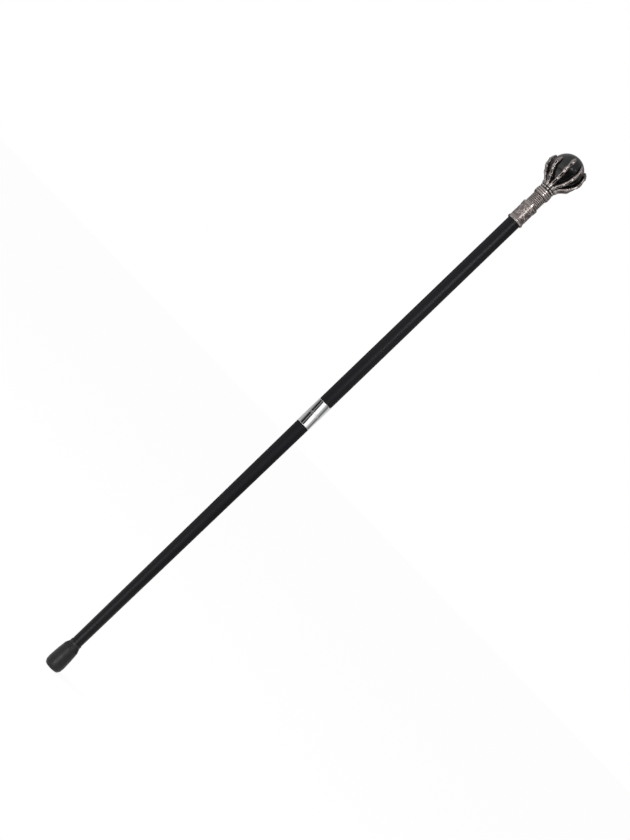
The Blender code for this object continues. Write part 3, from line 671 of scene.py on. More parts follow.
# Each stroke: centre across and up the panel, radius at its start and end, angle at its start and
# end in degrees, and half-width, lengths in millimetres.
STROKES = (
    (-4.6, 6.3, 0.5, 3.2, 400, 20, 0.62),
    (-1.0, 5.2, 2.9, 3.4, 160, 20, 0.66),
    (3.0, 4.4, 3.1, 0.4, 150, -260, 0.60),
    (0.2, 10.8, 3.0, 0.6, -70, 300, 0.60),
    (5.2, 10.2, 3.9, 3.1, 235, 95, 0.70),
    (-5.4, 12.4, 3.3, 2.6, -60, 70, 0.66),
    (-3.6, 16.0, 2.6, 0.4, -20, 330, 0.58),
    (2.6, 16.4, 2.7, 3.2, 200, 20, 0.68),
    (6.6, 16.4, 0.4, 2.1, 380, 90, 0.56),
    (0.0, 13.9, 0.0, 1.3, 0, 40, 0.74),
    (-7.0, 3.6, 0.0, 1.7, 0, 75, 0.70),
    (6.9, 5.9, 0.0, 1.6, 0, -60, 0.72),
    (-1.6, 1.6, 4.2, 4.2, 200, 330, 0.50),
    (7.3, 12.9, 0.0, 0.1, 0, 0, 0.80),
    (-7.5, 8.9, 0.0, 0.1, 0, 0, 0.78),
    (-0.9, 8.0, 0.0, 0.1, 0, 0, 0.72),
    (3.9, 7.7, 0.0, 0.1, 0, 0, 0.62),
    (-7.2, 17.3, 0.0, 0.1, 0, 0, 0.66),
    (2.9, 12.7, 0.0, 0.1, 0, 0, 0.60),
)


def relief_height(across, up):
    """Height from 0 to 1 of the strokes at each point of one panel, whose sides meet each other."""
    height = np.zeros(across.shape)
    t = np.linspace(0.0, 1.0, STROKE_SAMPLES)
    for right, high, start, end, turn_start, turn_end, half_width in STROKES:
        radius = start + (end - start) * t
        turn = np.radians(turn_start + (turn_end - turn_start) * t)
        swell = half_width * (0.45 + 0.55 * np.sin(math.pi * (0.15 + 0.7 * t)))
        x = (right + radius * np.cos(turn)) * MM
        z = (high + radius * np.sin(turn)) * MM
        aside = (across[..., None] - x + PANEL_WIDTH / 2) % PANEL_WIDTH - PANEL_WIDTH / 2
        near = ((aside**2 + (up[..., None] - z) ** 2) / (swell * MM) ** 2).min(axis=-1)
        height = np.maximum(height, np.sqrt(np.clip(1.0 - near, 0.0, 1.0)) * swell.max() / FULL_HALF_WIDTH)
    return np.minimum(height, 1.0)


def relief_round(level):
    """Height of the strokes at each level, all the way round: the panel, and beside it the panel turned
    upside down, again and again."""
    across = ((np.arange(PANEL_COLUMNS) + 0.5) / PANEL_COLUMNS - 0.5) * PANEL_WIDTH
    side, high = np.meshgrid(across, level - RELIEF_LOW)
    upright = relief_height(side, high)
    turned_over = relief_height(-side, RELIEF_HIGH - RELIEF_LOW - high)
    return np.hstack([upright, turned_over] * (PANELS // 2))


print(len(STROKES), "strokes in a panel of", PANEL_COLUMNS, "columns")

# %% Engraved collar
RELIEF_ROWS = 150
RELIEF_STAND = 0.12 * MM  # of the strokes over the wall
SLEEVE_BEAD = 11.6 * MM
SLEEVE_RIM = 11.2 * MM
RIM_LENGTH = 7.0 * MM
RIM_SLOPE = 0.5 * MM
SLEEVE_WEB = 4.0 * MM
# Crest of the plain metal, and what the sunk ground and then the strokes add to it.
PLAIN_CREST, GROUND_CREST, STROKE_CREST = 0.66, -0.24, 0.42


def sleeve_outlines(length):
    """The outline down the bore and round the foot to the relief, and on from the relief over the rim."""
    bore, web_foot = SHAFT_RADIUS + GAP, length - SLEEVE_WEB + GAP
    below = outline([
        (ROD_HOLE, length),
        (ROD_HOLE, web_foot),
        (bore, web_foot),
        (bore, 0.0),
        (SLEEVE_BEAD - 0.6 * MM, 0.0, 0.7 * MM),
        (SLEEVE_BEAD, 2.2 * MM, 1.2 * MM),
        (SLEEVE_BODY + 0.3 * MM, 3.8 * MM, 0.8 * MM),
        (SLEEVE_BODY, RELIEF_LOW - 0.2 * MM),
    ])
    above = outline([
        (SLEEVE_RIM, RELIEF_HIGH + 0.2 * MM),
        (SLEEVE_RIM, length, 0.8 * MM),
        (ROD_HOLE + 0.2 * MM, length),
    ])
    return below, above


def make_sleeve():
    """The relief is sunk into the wall and stands a little over it, and fades out at both ends."""
    foot, top = span("engraved_collar")
    below, above = sleeve_outlines(top - foot)
    level = np.linspace(RELIEF_LOW, RELIEF_HIGH, RELIEF_ROWS)
    step = np.clip((level - (top - foot) + RIM_LENGTH) / RIM_SLOPE, 0.0, 1.0)
    wall = SLEEVE_BODY + (SLEEVE_RIM - SLEEVE_BODY) * step**2 * (3.0 - 2.0 * step)
    edge = np.clip((level - RELIEF_LOW) / MM, 0.0, 1.0) * np.clip((RELIEF_HIGH - level) / MM, 0.0, 1.0)
    edge = edge[:, None]
    sunk = (SLEEVE_BODY - SLEEVE_GROUND) * edge
    height = relief_round(level)
    columns = height.shape[1]
    radius = np.vstack((
        np.repeat(below.real[:, None], columns, axis=1),
        wall[:, None] - sunk + (sunk + RELIEF_STAND * edge) * height,
        np.repeat(above.real[:, None], columns, axis=1),
    ))
    angle = math.tau * (np.arange(columns) + 0.5) / columns - math.pi / 2 - math.pi / PANELS
    points = round_grid(radius, angle, foot + np.concatenate((below.imag, level, above.imag)))
    crest_and_painted_shade = np.full(radius.shape, PLAIN_CREST)
    crest_and_painted_shade[len(below) : -len(above)] += edge * (GROUND_CREST + STROKE_CREST * height)
    add_piece("engraved_collar", points, ANTIQUE, ring=True, crest_and_painted_shade=crest_and_painted_shade)


make_sleeve()

# %% [markdown]
# ## Wrist core and band
#
# The wrist's barrel hardly shows under the cord, but the thin ring at its foot does. The band above it is
# three plain cord rings, one on another. Three separate rings could be stacked, but they are one casting.
# A ring's radius falls from its crown as a power of the distance from its middle, and the grooves between
# the rings stay dark. A faint ripple keeps them from looking machined.

# %% Wrist core and band
WRAP_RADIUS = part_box("wrist_wrap")[1].x
CORD = 2.2 * MM
CORE_RING = 1.5 * MM
BARREL = WRAP_RADIUS - CORD - GAP
NECK_RADIUS = 10.0 * MM
BAND_PITCH = 2.9 * MM
BAND_CROWNS = (10.9 * MM, 11.2 * MM, 11.2 * MM)
BAND_CUFF = 1.35 * MM
BAND_ROWS = 80
RING_FALL = 0.75 * MM
RIPPLE = 0.05 * MM


def make_core():
    foot, top = span("wrist_core")
    ring, ring_top = 9.6 * MM, foot + CORE_RING
    corners = [
        (BARREL, top, 0.3 * MM),
        (BARREL, ring_top),
        (ring, ring_top, 0.55 * MM),
        (ring, foot, 0.55 * MM),
        (ROD_HOLE, foot),
        (ROD_HOLE, top),
    ]
    line = outline(corners, closed=True)
    # Painted shade: the barrel and the bore, which lie under the cord, are darker. The value rises with the
    # radius to the ring at the foot, which is bright.
    crest_and_painted_shade = np.clip(0.2 + 0.9 * (line.real - BARREL) / (ring - BARREL), 0.0, 1.0)[:, None]
    add_turned("wrist_core", corners, ANTIQUE, crest_and_painted_shade=crest_and_painted_shade)


def make_band():
    foot, top = span("wrist_band")
    first = top - 0.5 * MM
    levels = np.linspace(first, first - len(BAND_CROWNS) * BAND_PITCH, BAND_ROWS)
    place = (first - levels) / BAND_PITCH
    ring = np.minimum(place.astype(int), len(BAND_CROWNS) - 1)
    off_middle = 2.0 * (place - ring) - 1.0
    rings = np.array(BAND_CROWNS)[ring] - RING_FALL * np.abs(off_middle) ** 2.6
    lip = outline([
        (rings[-1], levels[-1]),
        (10.8 * MM, foot + 0.45 * MM, 0.3 * MM),
        (10.7 * MM, foot, 0.2 * MM),
        (WRAP_RADIUS + GAP, foot, 0.1 * MM),
        (WRAP_RADIUS + GAP, foot + BAND_CUFF),
        (ROD_HOLE, foot + BAND_CUFF),
        (ROD_HOLE, top),
        (NECK_RADIUS, top),
    ])
    line = np.concatenate((rings + 1j * levels, lip[1:]))
    crest_and_painted_shade = np.full(len(line), 0.55)
    crest_and_painted_shade[:BAND_ROWS] = 0.78 - 0.6 * np.abs(off_middle) ** 4
    steps = 2 * TURN_STEPS
    points = turned_grid(line, steps)
    angle = math.tau * np.arange(steps) / steps
    outside = np.clip((line.real - NECK_RADIUS) / MM, 0.0, 1.0)[:, None]
    points[..., 2] += RIPPLE * np.sin(9 * angle + 1.0) * np.sin(4 * angle) * outside
    add_piece("wrist_band", points, ANTIQUE, ring=True, crest_and_painted_shade=crest_and_painted_shade[:, None])


make_core()
make_band()

# %% [markdown]
# ## Twisted cord
#
# The wrist is wound with a cord of two strands, cast in metal. Each strand could be a curve of its own,
# but the casting is one piece, so one tube takes the form of both. A cord that is wound tightly lies level
# for most of a turn and climbs to the next row in a short step, here at the back. Across the path the two
# strands draw a figure of eight, whose outline in polar form is the root of cos squared + k sin squared,
# and that figure turns as it goes along the path. Twelve full twists in each turn set the strands of one
# row exactly above those of the next, as on the real cane. The last turn ends inside the band's cuff.

# %% Wrist wrap
CORD_PITCH = 2.34 * MM
CORD_TURNS = 6.75
CORD_CLIMB = 0.2  # share of each turn
TWISTS = 12  # in each turn
CORD_ROWS = 240  # in each turn
CORD_COLUMNS = 28
PINCH = 0.42


def make_wrap():
    foot = span("wrist_wrap")[0]
    centre = WRAP_RADIUS - CORD / 2
    turn = np.linspace(0.0, CORD_TURNS, round(CORD_TURNS * CORD_ROWS) + 1)
    angle = math.tau * turn + math.pi / 2
    outwards = np.stack((np.cos(angle), np.sin(angle), np.zeros_like(angle)), axis=-1)
    climb = np.clip((turn % 1.0 - 1.0) / CORD_CLIMB + 1.0, 0.0, 1.0)
    path = centre * outwards
    path[:, 2] = foot + CORD / 2 + CORD_PITCH * (np.floor(turn) + climb**2 * (3.0 - 2.0 * climb))
    forward = np.gradient(path, axis=0)
    forward /= np.linalg.norm(forward, axis=1)[:, None]
    upwards = np.cross(forward, outwards)
    around = math.tau * np.arange(CORD_COLUMNS) / CORD_COLUMNS
    twist = math.tau * TWISTS * turn[:, None]
    reach = np.sqrt(np.cos(around - twist) ** 2 + PINCH * np.sin(around - twist) ** 2)
    radius = CORD / 2 * reach
    points = path[:, None] + radius[..., None] * (
        outwards[:, None] * np.cos(around)[:, None] + upwards[:, None] * np.sin(around)[:, None]
    )
    facing_for_painted_shade = 0.5 + 0.5 * np.cos(around)  # 1 outwards and 0 towards the barrel
    # The pinch between the two strands is darker patina. Painted shade: the cord's side towards the barrel
    # is darkened to 0.65 of its value.
    crest_and_painted_shade = np.clip(0.48 + 0.9 * (reach - 0.65), 0.0, 0.85) * (0.65 + 0.35 * facing_for_painted_shade)
    add_piece("wrist_wrap", points, ANTIQUE, crest_and_painted_shade=crest_and_painted_shade)


make_wrap()

# %% [markdown]
# ## Smooth curves through a few stations
#
# Bones swell and narrow smoothly. Sculpting could do it by eye, but the shapes have to come out the same
# each time, so a short list of stations says how wide a bone is at each place, and a cubic between each
# two stations, whose slope at a station follows its neighbours, fills in the rest.

# %% Curve helpers
def cubic(t):
    """The four weights of a cubic from 0 to 1: start, slope there, end, slope there."""
    return (1 - t) ** 2 * (1 + 2 * t), t * (1 - t) ** 2, t**2 * (3 - 2 * t), t**2 * (t - 1)


def through(stations, x):
    """A smooth curve through (place, value) stations, read at each x."""
    places, values = np.array(stations).T
    slopes = np.gradient(values, places)
    k = np.clip(np.searchsorted(places, x, side="right") - 1, 0, len(places) - 2)
    width = places[k + 1] - places[k]
    start, start_slope, end, end_slope = cubic(np.clip((x - places[k]) / width, 0.0, 1.0))
    return (
        start * values[k] + start_slope * width * slopes[k]
        + end * values[k + 1] + end_slope * width * slopes[k + 1]
    )


def soft_window(x, start, end, soft):
    """1 between start and end and 0 outside, with soft sides of that width."""
    rise = np.clip((x - start) / soft + 0.5, 0.0, 1.0)
    fall = np.clip((end - x) / soft + 0.5, 0.0, 1.0)
    return rise**2 * (3 - 2 * rise) * fall**2 * (3 - 2 * fall)


def casting_waves(points, size):
    """Small unevenness of a casting: three crossed waves a few millimetres long, size high."""
    x, y, z = np.moveaxis(points / MM, -1, 0)
    return size * (
        np.sin(1.9 * x + 0.8 * z) * np.sin(1.3 * y + 2.0)
        + 0.6 * np.sin(3.1 * z + 1.7 * y) * np.sin(2.3 * x + 1.0)
        + 0.4 * np.sin(4.7 * y - 3.9 * z + 0.5)
    )


# %% [markdown]
# ## Hand base
#
# The ball and the digits stand on a cup of small wrist bones, in two rows. There is a column of them
# under each digit, and one more wherever two digits leave room. The bones could be single pebbles, but
# they are cast in one with the cup, so they are a height field on its wall. Each one is a dome that falls
# off as a high power of the distance from its middle, both round the cup and up it, so that it is broad
# with round sides and has dark gaps about it. No two bones are alike, so a seeded random number makes each
# one fuller or flatter and tips it a little. Inside the ring of digits the palm rises to a dish for the
# ball.

# %% Hand base
# Azimuths go from the front, -Y, to the right.
COLUMN_AZIMUTHS = (-146, -115, -84, -61.5, -39, -6, 26, 54, 79, 104, 131, 158, 186)
COLUMNS = len(COLUMN_AZIMUTHS)
BASE_POINTS = 338
ROW_SPLIT = 3.0 * MM
LIP_OVERLAP = 1.4 * MM  # how far the upper bones would reach over the lip
WALL_ROWS = 90
SEAT_TILT = math.radians(47)
SEAT_POLAR = math.radians(23.6)
SEAT_LIFT = 5.44 * MM
SEAT_OUTER = 2.2 * MM  # the cup's lip, out from the middle of a digit's seat
SEAT_INNER = 1.3 * MM
BONE_DOME = 1.7 * MM  # depth of the gaps between the bones
BONE_STAND = 0.25 * MM  # of a full bone over the wall
BONE_SEED = 14
BASE_WAVES = 0.06 * MM
PALM_RADIUS = 9.4 * MM
DISH_ROWS = 9


def seat_centre():
    """Where a digit's centre line starts, as (radius, height) from the ball's centre."""
    reach = BALL_RADIUS + SEAT_LIFT
    return np.array((reach * math.sin(SEAT_POLAR), -reach * math.cos(SEAT_POLAR)))


def bone_swell(level, azimuth, lip):
    """Height of the bones at each level of the wall and each azimuth, from 0 in the gaps to about 1 on a
    full bone: (1 - up^4) (1 - side^5), where up and side go from -1 to 1 across a bone, times a random
    fullness and tilt. The columns wander a little from side to side."""
    middles = np.radians((*COLUMN_AZIMUTHS, COLUMN_AZIMUTHS[0] + 360))
    split = NECK + ROW_SPLIT
    upper = (level > split)[:, None]
    row_low = np.where(upper, split, NECK)
    row_high = np.where(upper, lip + LIP_OVERLAP, split)
    up = 2.0 * (level[:, None] - row_low) / (row_high - row_low) - 1.0
    wander = 0.10 * np.sin(3.0 * azimuth + 1.0) + 0.07 * np.sin(7.0 * azimuth) * up
    place = np.interp(azimuth, middles, np.arange(COLUMNS + 1)) + wander * np.where(upper, 1.0, 0.6)
    column = np.round(place)
    side = 2.0 * (place - column)
    random = np.random.default_rng(BONE_SEED)
    fullness = random.uniform(0.72, 1.08, (2, COLUMNS))
    tilt = random.uniform(-0.30, 0.30, (2, COLUMNS))
    bone = (np.broadcast_to(upper, side.shape).astype(int), column.astype(int) % COLUMNS)
    dome = (1.0 - np.abs(up) ** 4) * (1.0 - np.abs(side) ** 5)
    return dome * fullness[bone] * (1.0 + tilt[bone] * side - 0.25 * np.abs(side) ** 2)


def palm_outline(outer, inner):
    """Radius and height from the cup's lip to the palm, over its dish, which keeps a gap all along the
    ball, down the hole for the rod and out along the foot."""
    reach = np.linspace(PALM_RADIUS - 0.4 * MM, ROD_HOLE, DISH_ROWS)
    dish = np.column_stack((reach, -np.sqrt((BALL_RADIUS + GAP) ** 2 - reach**2)))
    return np.vstack((
        (outer[0] - 0.5 * MM, outer[1] + 0.05 * MM),
        inner,
        (PALM_RADIUS + 0.25 * MM, inner[1] + 0.2 * MM),
        (PALM_RADIUS, inner[1] + 0.8 * MM),
        (PALM_RADIUS, dish[0, 1] - 0.5 * MM),
        (PALM_RADIUS - 0.12 * MM, dish[0, 1] - 0.1 * MM),
        dish,
        (ROD_HOLE, NECK),
        (NECK_RADIUS - 0.6 * MM, NECK),
    ))


def make_hand_base():
    rise = np.array((math.cos(SEAT_TILT), math.sin(SEAT_TILT)))
    across = np.array((rise[1], -rise[0]))
    seat = seat_centre() - rise * GAP
    outer, inner = seat + across * SEAT_OUTER, seat - across * SEAT_INNER
    inside = palm_outline(outer, inner)
    level = np.linspace(NECK, outer[1], WALL_ROWS)
    wall = NECK_RADIUS + (outer[0] - NECK_RADIUS) * (level - NECK) / (outer[1] - NECK)
    azimuth = math.radians(COLUMN_AZIMUTHS[0]) + math.tau * np.arange(BASE_POINTS) / BASE_POINTS
    swell = bone_swell(level, azimuth, outer[1])
    radius = wall[:, None] - BONE_DOME + (BONE_DOME + BONE_STAND) * swell
    radius = np.vstack((radius, np.repeat(inside[:, :1], BASE_POINTS, axis=1)))
    levels = np.concatenate((level, inside[:, 1]))
    angle = azimuth - math.pi / 2
    waves = casting_waves(round_grid(radius, angle, levels), BASE_WAVES)
    radius[:WALL_ROWS] += waves[:WALL_ROWS]
    # Painted shade: the palm, which lies under the ball, and the lip, where the digits sit, get low values
    # so that they render dark.
    crest_and_painted_shade = np.full(radius.shape, 0.08)  # the palm stays dark
    crest_and_painted_shade[:WALL_ROWS] = np.clip(0.90 * swell - 0.02, 0.0, 1.0)
    crest_and_painted_shade[WALL_ROWS : WALL_ROWS + 2] = 0.25  # the lip
    add_piece("hand_base", round_grid(radius, angle, levels), ANTIQUE, ring=True, crest_and_painted_shade=crest_and_painted_shade)


make_hand_base()

# %% [markdown]
# ## Digits
#
# Each digit is a metacarpal and three finger bones, cast in one and laid on the ball. Bone by bone it
# could be modelled once and bent over the ball, but every digit leans its own way, so each is worked out
# whole, as one function of the place along it and the angle round it. Its centre line is a smooth curve
# through the joints. At every place along it there is a section: a flattened oval whose width follows the
# bone, with a ring at each end of a bone, a narrow groove between two rings, and a long flute down its
# back. Where the oval would sink into the ball it is cut flat. The last bone is a claw with a ridge and
# two facets.

# %% Digit sizes
SHORT = (43.7, 64.6, 84.8, 104.0)  # polar angles of the joints and the point, from straight down
LONG = (53.0, 79.4, 109.0, 131.0)
DIGITS = {  # polar angles, and azimuths of the seat, the joints and the point
    "digit_1": (SHORT, (-84, -87, -90, -90, -90)),
    "digit_2": (SHORT, (-39, -38, -41, -44, -44)),
    "digit_3": (LONG, (-6, -4, -5, -6, -8)),
    "digit_4": (LONG, (26, 30, 31, 34, 32)),
    "digit_5": (LONG, (54, 63, 70, 73, 86)),
    "digit_6": (LONG, (104, 115, 121, 125, 130)),
    "digit_7": (SHORT, (158, 166, 171, 174, 176)),
    "digit_8": (LONG, (214, 218, 220, 222, 222)),
}
JOINT_LIFTS = (3.4 * MM, 2.9 * MM, 2.3 * MM, 1.2 * MM)
BONE_WIDTHS = np.array((5.1, 5.1, 5.6, 5.8)) * MM
BONE_HEIGHTS = np.array((2.2, 2.3, 2.4, 1.9)) * MM
# Share of the full width at places along a bone.
BONE_SHAPE = (
    (0.0, 0.98), (0.13, 0.96), (0.30, 0.80), (0.50, 0.75), (0.68, 0.84), (0.86, 0.98), (1.0, 0.98),
)
CLAW = 3  # the last bone's number
CLAW_SHAPE = ((0.0, 0.95), (0.14, 1.00), (0.32, 0.95), (0.60, 0.76), (0.85, 0.54), (1.0, 0.40))
CLAW_START = 0.12  # of the ridge, along the bone
CLAW_POINT = 0.87  # where the claw rounds off
RING_PLACE = 0.62 * MM  # from the joint to the middle of the ring beside it
RING_HALF = 0.42 * MM
RING_RISE = 0.24 * MM
GROOVE_HALF = 0.26 * MM
GROOVE_DEPTH = 0.34  # share of the section
# A bone's flute: where it starts and ends along the bone, its middle and half-width across it, and its
# depth in millimetres.
FLUTES = ((0.12, 0.74, 0.12, 0.36, 1.20), (0.12, 0.66, 0.24, 0.38, 1.05), (0.52, 0.84, 0.30, 0.40, 0.90))
# A bone's bulge: its middle and half-length along the bone, its middle across it, and its height in
# millimetres.
BULGES = ((0.86, 0.14, 0.00, 0.20), (0.76, 0.10, -0.10, 0.28), (0.30, 0.20, 0.05, 0.34))
TOUCH = 0.03 * MM  # from the ball
FREE_SPAN = 0.35  # share of the metacarpal that stands clear of the ball
DIGIT_ROWS = 100  # in each bone
DIGIT_COLUMNS = 56
DIGIT_WAVES = 0.05 * MM


# %% Digit centre line
def digit_path(polar_angles, places):
    """Points and directions (radius, height) at places along a digit, 0 at the seat, 1 at the knuckle and
    so on, and the length of the bone there. The curve is a cubic between each two joints, whose slope at
    a joint follows its neighbours, and its direction is the rate of that cubic."""
    polar = np.radians(polar_angles)
    reach = BALL_RADIUS + np.array(JOINT_LIFTS)
    joints = np.column_stack((reach * np.sin(polar), -reach * np.cos(polar)))
    nodes = np.vstack((seat_centre(), joints))
    slopes = np.empty_like(nodes)
    slopes[1:-1] = (nodes[2:] - nodes[:-2]) / 2
    start = np.linalg.norm(nodes[1] - nodes[0])
    slopes[0] = start * np.array((math.cos(SEAT_TILT), math.sin(SEAT_TILT)))
    slopes[-1] = 1.5 * (nodes[-1] - nodes[-2]) - slopes[-2] / 2
    bone = np.minimum(places.astype(int), len(nodes) - 2)
    t = (places - bone)[:, None]
    ends = nodes[bone], slopes[bone], nodes[bone + 1], slopes[bone + 1]
    points = sum(weight * end for weight, end in zip(cubic(t), ends))
    rates = (6 * t * (t - 1), (1 - t) * (1 - 3 * t), 6 * t * (1 - t), t * (3 * t - 2))
    ways = sum(rate * end for rate, end in zip(rates, ends))
    lengths = np.linalg.norm(np.diff(nodes, axis=0), axis=1)
    return points, ways / np.linalg.norm(ways, axis=1)[:, None], lengths[bone]


# %% Digit widths and heights
def digit_sizes(bone, u, lengths):
    """Half-width and height of the section at place u of each bone, and how much of a ring and of a groove
    is there, from 0 to 1: exp(-distance^4) and exp(-distance^2)."""
    to_start = np.where(bone == 0, np.inf, u * lengths)  # no ring at the seat
    to_end = np.where(bone == CLAW, np.inf, (1.0 - u) * lengths)  # nor at the point
    to_joint = np.minimum(to_start, to_end)
    ring = np.exp(-(((to_joint - RING_PLACE) / RING_HALF) ** 4))
    groove = np.exp(-((to_joint / GROOVE_HALF) ** 2))
    shape = np.where(bone == CLAW, through(CLAW_SHAPE, u), through(BONE_SHAPE, u))
    seat_share = np.where(bone == 0, np.clip(0.94 + 0.3 * u, 0.0, 1.0), 1.0)
    past = np.where(bone == CLAW, np.clip((u - CLAW_POINT) / (1.0 - CLAW_POINT), 0.0, 1.0), 0.0)
    thinned = (1.0 - GROOVE_DEPTH * groove) * np.sqrt(np.clip(1.0 - past**2, 0.02, 1.0))
    half_width = (BONE_WIDTHS[bone] / 2 * shape * seat_share + RING_RISE * ring) * thinned
    height = (BONE_HEIGHTS[bone] * (0.25 + 0.75 * shape) + RING_RISE * ring) * thinned
    return half_width[:, None], height[:, None], ring[:, None], groove[:, None]


# %% Digit sections
def digit_section(places, lengths):
    """Across and up of every point of the sections, in metres, and the crest number there, which also
    carries painted shade on the lower side of each section, the side that faces the ball. The section is an
    oval, or on the claw a roof, less its flute and with its bulge."""
    bone = np.minimum(places.astype(int), CLAW)
    u = places - bone
    half_width, height, ring, groove = digit_sizes(bone, u, lengths)
    theta = math.pi / 2 + math.tau * np.arange(DIGIT_COLUMNS) / DIGIT_COLUMNS
    side = np.cos(theta)
    top = np.clip(np.sin(theta), 0.0, 1.0)
    oval = np.sign(np.sin(theta)) * np.abs(np.sin(theta)) ** 0.9
    roof = np.where(np.sin(theta) > 0, 0.25 * oval + 0.75 * (1.0 - np.abs(side) ** 1.25), oval)
    claw = ((bone == CLAW) * soft_window(u, CLAW_START, 2.0, 0.10))[:, None]
    hollow = np.zeros((len(places), DIGIT_COLUMNS))
    for k, (start, end, middle, half, depth) in enumerate(FLUTES):
        along = (bone == k) * soft_window(u, start, end, 0.12)
        hollow += depth * along[:, None] * np.exp(-(((side - middle) / half) ** 4)) * top**0.5
    raised = np.zeros_like(hollow)
    for k, (place, half, middle, rise) in enumerate(BULGES):
        along = (bone == k) * np.exp(-(((u - place) / half) ** 2))
        raised += rise * along[:, None] * np.exp(-(((side - middle) / 0.7) ** 2)) * top
    up = height * (oval * (1.0 - claw) + roof * claw) + (raised - hollow) * MM
    crest_and_painted_shade = 0.66 + 0.28 * ring * top - 0.95 * groove  # the rings are worn bright, the grooves are dark
    # Bulges are worn bright and flutes keep dark patina. The last term is painted shade: it darkens the
    # lower half of each section, which faces the ball.
    crest_and_painted_shade += 1.1 * raised - 0.80 * hollow - 0.28 * (1.0 - top) ** 2
    return half_width * side, up, np.clip(crest_and_painted_shade, 0.0, 1.0)


def make_digit(name):
    """Carries the sections along the centre line. Past the free span of the metacarpal their lower halves
    are stretched down to the ball, and they are flattened where they lie on it."""
    polar_angles, azimuths = DIGITS[name]
    places = np.linspace(0.0, 4.0, 4 * DIGIT_ROWS + 1)
    line, ways, lengths = digit_path(polar_angles, places)
    across, up, crest_and_painted_shade = digit_section(places, lengths)
    lift = np.linalg.norm(line, axis=1) - BALL_RADIUS - TOUCH
    stand = np.clip((places - FREE_SPAN) / (1.0 - FREE_SPAN), 0.0, 1.0)
    reach_down = 1.0 + stand * np.maximum(lift / -up.min(axis=1) - 1.0, 0.0)
    up = np.where(up < 0.0, up * reach_down[:, None], up)
    up = np.maximum(up, -lift[:, None])
    outwards = np.column_stack((ways[:, 1], -ways[:, 0]))
    turn = np.radians(through(list(enumerate(azimuths)), places))[:, None]
    radius = line[:, :1] + outwards[:, :1] * up
    x = radius * np.sin(turn) + across * np.cos(turn)
    y = -radius * np.cos(turn) + across * np.sin(turn)
    z = line[:, 1:] + outwards[:, 1:] * up
    points = np.stack((x, y, z), axis=-1)
    reach = np.linalg.norm(points, axis=-1)
    waves = casting_waves(points, DIGIT_WAVES) * np.clip((reach - BALL_RADIUS - MM) / MM, 0.0, 1.0)
    points *= (1.0 + waves / reach)[..., None]
    add_piece(name, points, ANTIQUE, crest_and_painted_shade=crest_and_painted_shade)


for name in DIGITS:
    make_digit(name)

# %% [markdown]
# ## Ball
#
# The ball is an arc of its own radius, turned round the axis, where Blender's own sphere would have no
# bore: in its underside is the hole for the brass insert, which the rod screws into.

# %% Ball
BALL_ROWS = 96
BALL_STEPS = 160


def make_ball():
    insert_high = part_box("ball_insert")[1]
    bore, bore_top = insert_high.x + GAP, insert_high.z + GAP
    angles = np.linspace(math.pi / 2, -math.acos(bore / BALL_RADIUS), BALL_ROWS + 1)
    arc = BALL_RADIUS * np.exp(1j * angles)
    line = np.append(arc[1:], complex(bore, bore_top))
    poles = np.array([(0.0, 0.0, BALL_RADIUS), (0.0, 0.0, bore_top)])
    add_piece("ball", turned_grid(line, BALL_STEPS), BALL_BLACK, poles=poles)


make_ball()

# %% [markdown]
# ## Floor and world
#
# The floor is plain and pale. More light could make it white, but it would bleach the cane too. So the
# camera, mirrors and glass see the floor and the world as white, by Light Path, and everything else sees
# a quieter world. The floor stays partly diffuse, which keeps the cane's soft shadow at its foot.

# %% Floor and world
WORLD_LIGHT = 0.45
FLOOR_LIGHT = 0.5
FLOOR_GLOW = 0.91
FLOOR_GREY = (0.16, 0.16, 0.16, 1.0)
FLOOR_HALF = 20.0
FLOOR_LEVEL = GROUND - 0.2 * MM


def seen_as(tree, low, high):
    """High for rays that see the background, from the camera, from a gloss or through glass, else low."""
    path = add_node(tree, "LightPath").outputs
    direct = add_math(tree, "MAXIMUM", path["Is Camera Ray"], path["Is Glossy Ray"])
    direct = add_math(tree, "MAXIMUM", direct, path["Is Transmission Ray"])
    return add_range(tree, direct, low, high, start=0.0, end=1.0)


def make_world():
    world = bpy.data.worlds.new("white_studio")
    world.use_nodes = True
    tree = world.node_tree
    light = {"Color": WHITE, "Strength": seen_as(tree, WORLD_LIGHT, 1.0)}
    set_inputs(tree, tree.nodes["Background"], light)
    bpy.context.scene.world = world


def make_floor():
    material, tree = new_finish("pale_floor")
    set_shader(tree, {
        "Base Color": FLOOR_GREY,
        "Roughness": 0.9,
        "Specular IOR Level": 0.0,
        "Emission Color": WHITE,
        "Emission Strength": seen_as(tree, FLOOR_LIGHT, FLOOR_GLOW),
    })
    half, level = FLOOR_HALF, FLOOR_LEVEL
    corners = [(-half, -half, level), (half, -half, level), (half, half, level), (-half, half, level)]
    mesh = bpy.data.meshes.new("floor")
    mesh.from_pydata(corners, [], [(0, 1, 2, 3)])
    mesh.materials.append(material)
    floor = bpy.data.objects.new("floor", mesh)
    bpy.context.scene.collection.objects.link(floor)
    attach(floor, "tip")  # the cane hangs from the hand, so the floor is wherever its tip stands
    print(f"floor {2 * FLOOR_HALF:.0f} m wide at {FLOOR_LEVEL / MM:.1f} mm")


make_world()
make_floor()

# %% [markdown]
# ## Lights and cards
#
# A black cane on white is lit as a photographer would light glassware: soft boxes make the highlights,
# and dark cards, which only reflections see, draw the dark lines in the chrome and the metal. A card is a
# part of a cylinder round the cane, from one azimuth to another. The key and the light cards at the right
# would stand as white windows in the ball, so light linking keeps them off it: the ball has its two small
# glints instead.

# %% Soft boxes
HEAD = (0.0, 0.0, -0.02)
SHAFTS = (0.0, 0.0, -0.30)
LAMP_DISTANCE = 0.9  # inside the ring of cards below
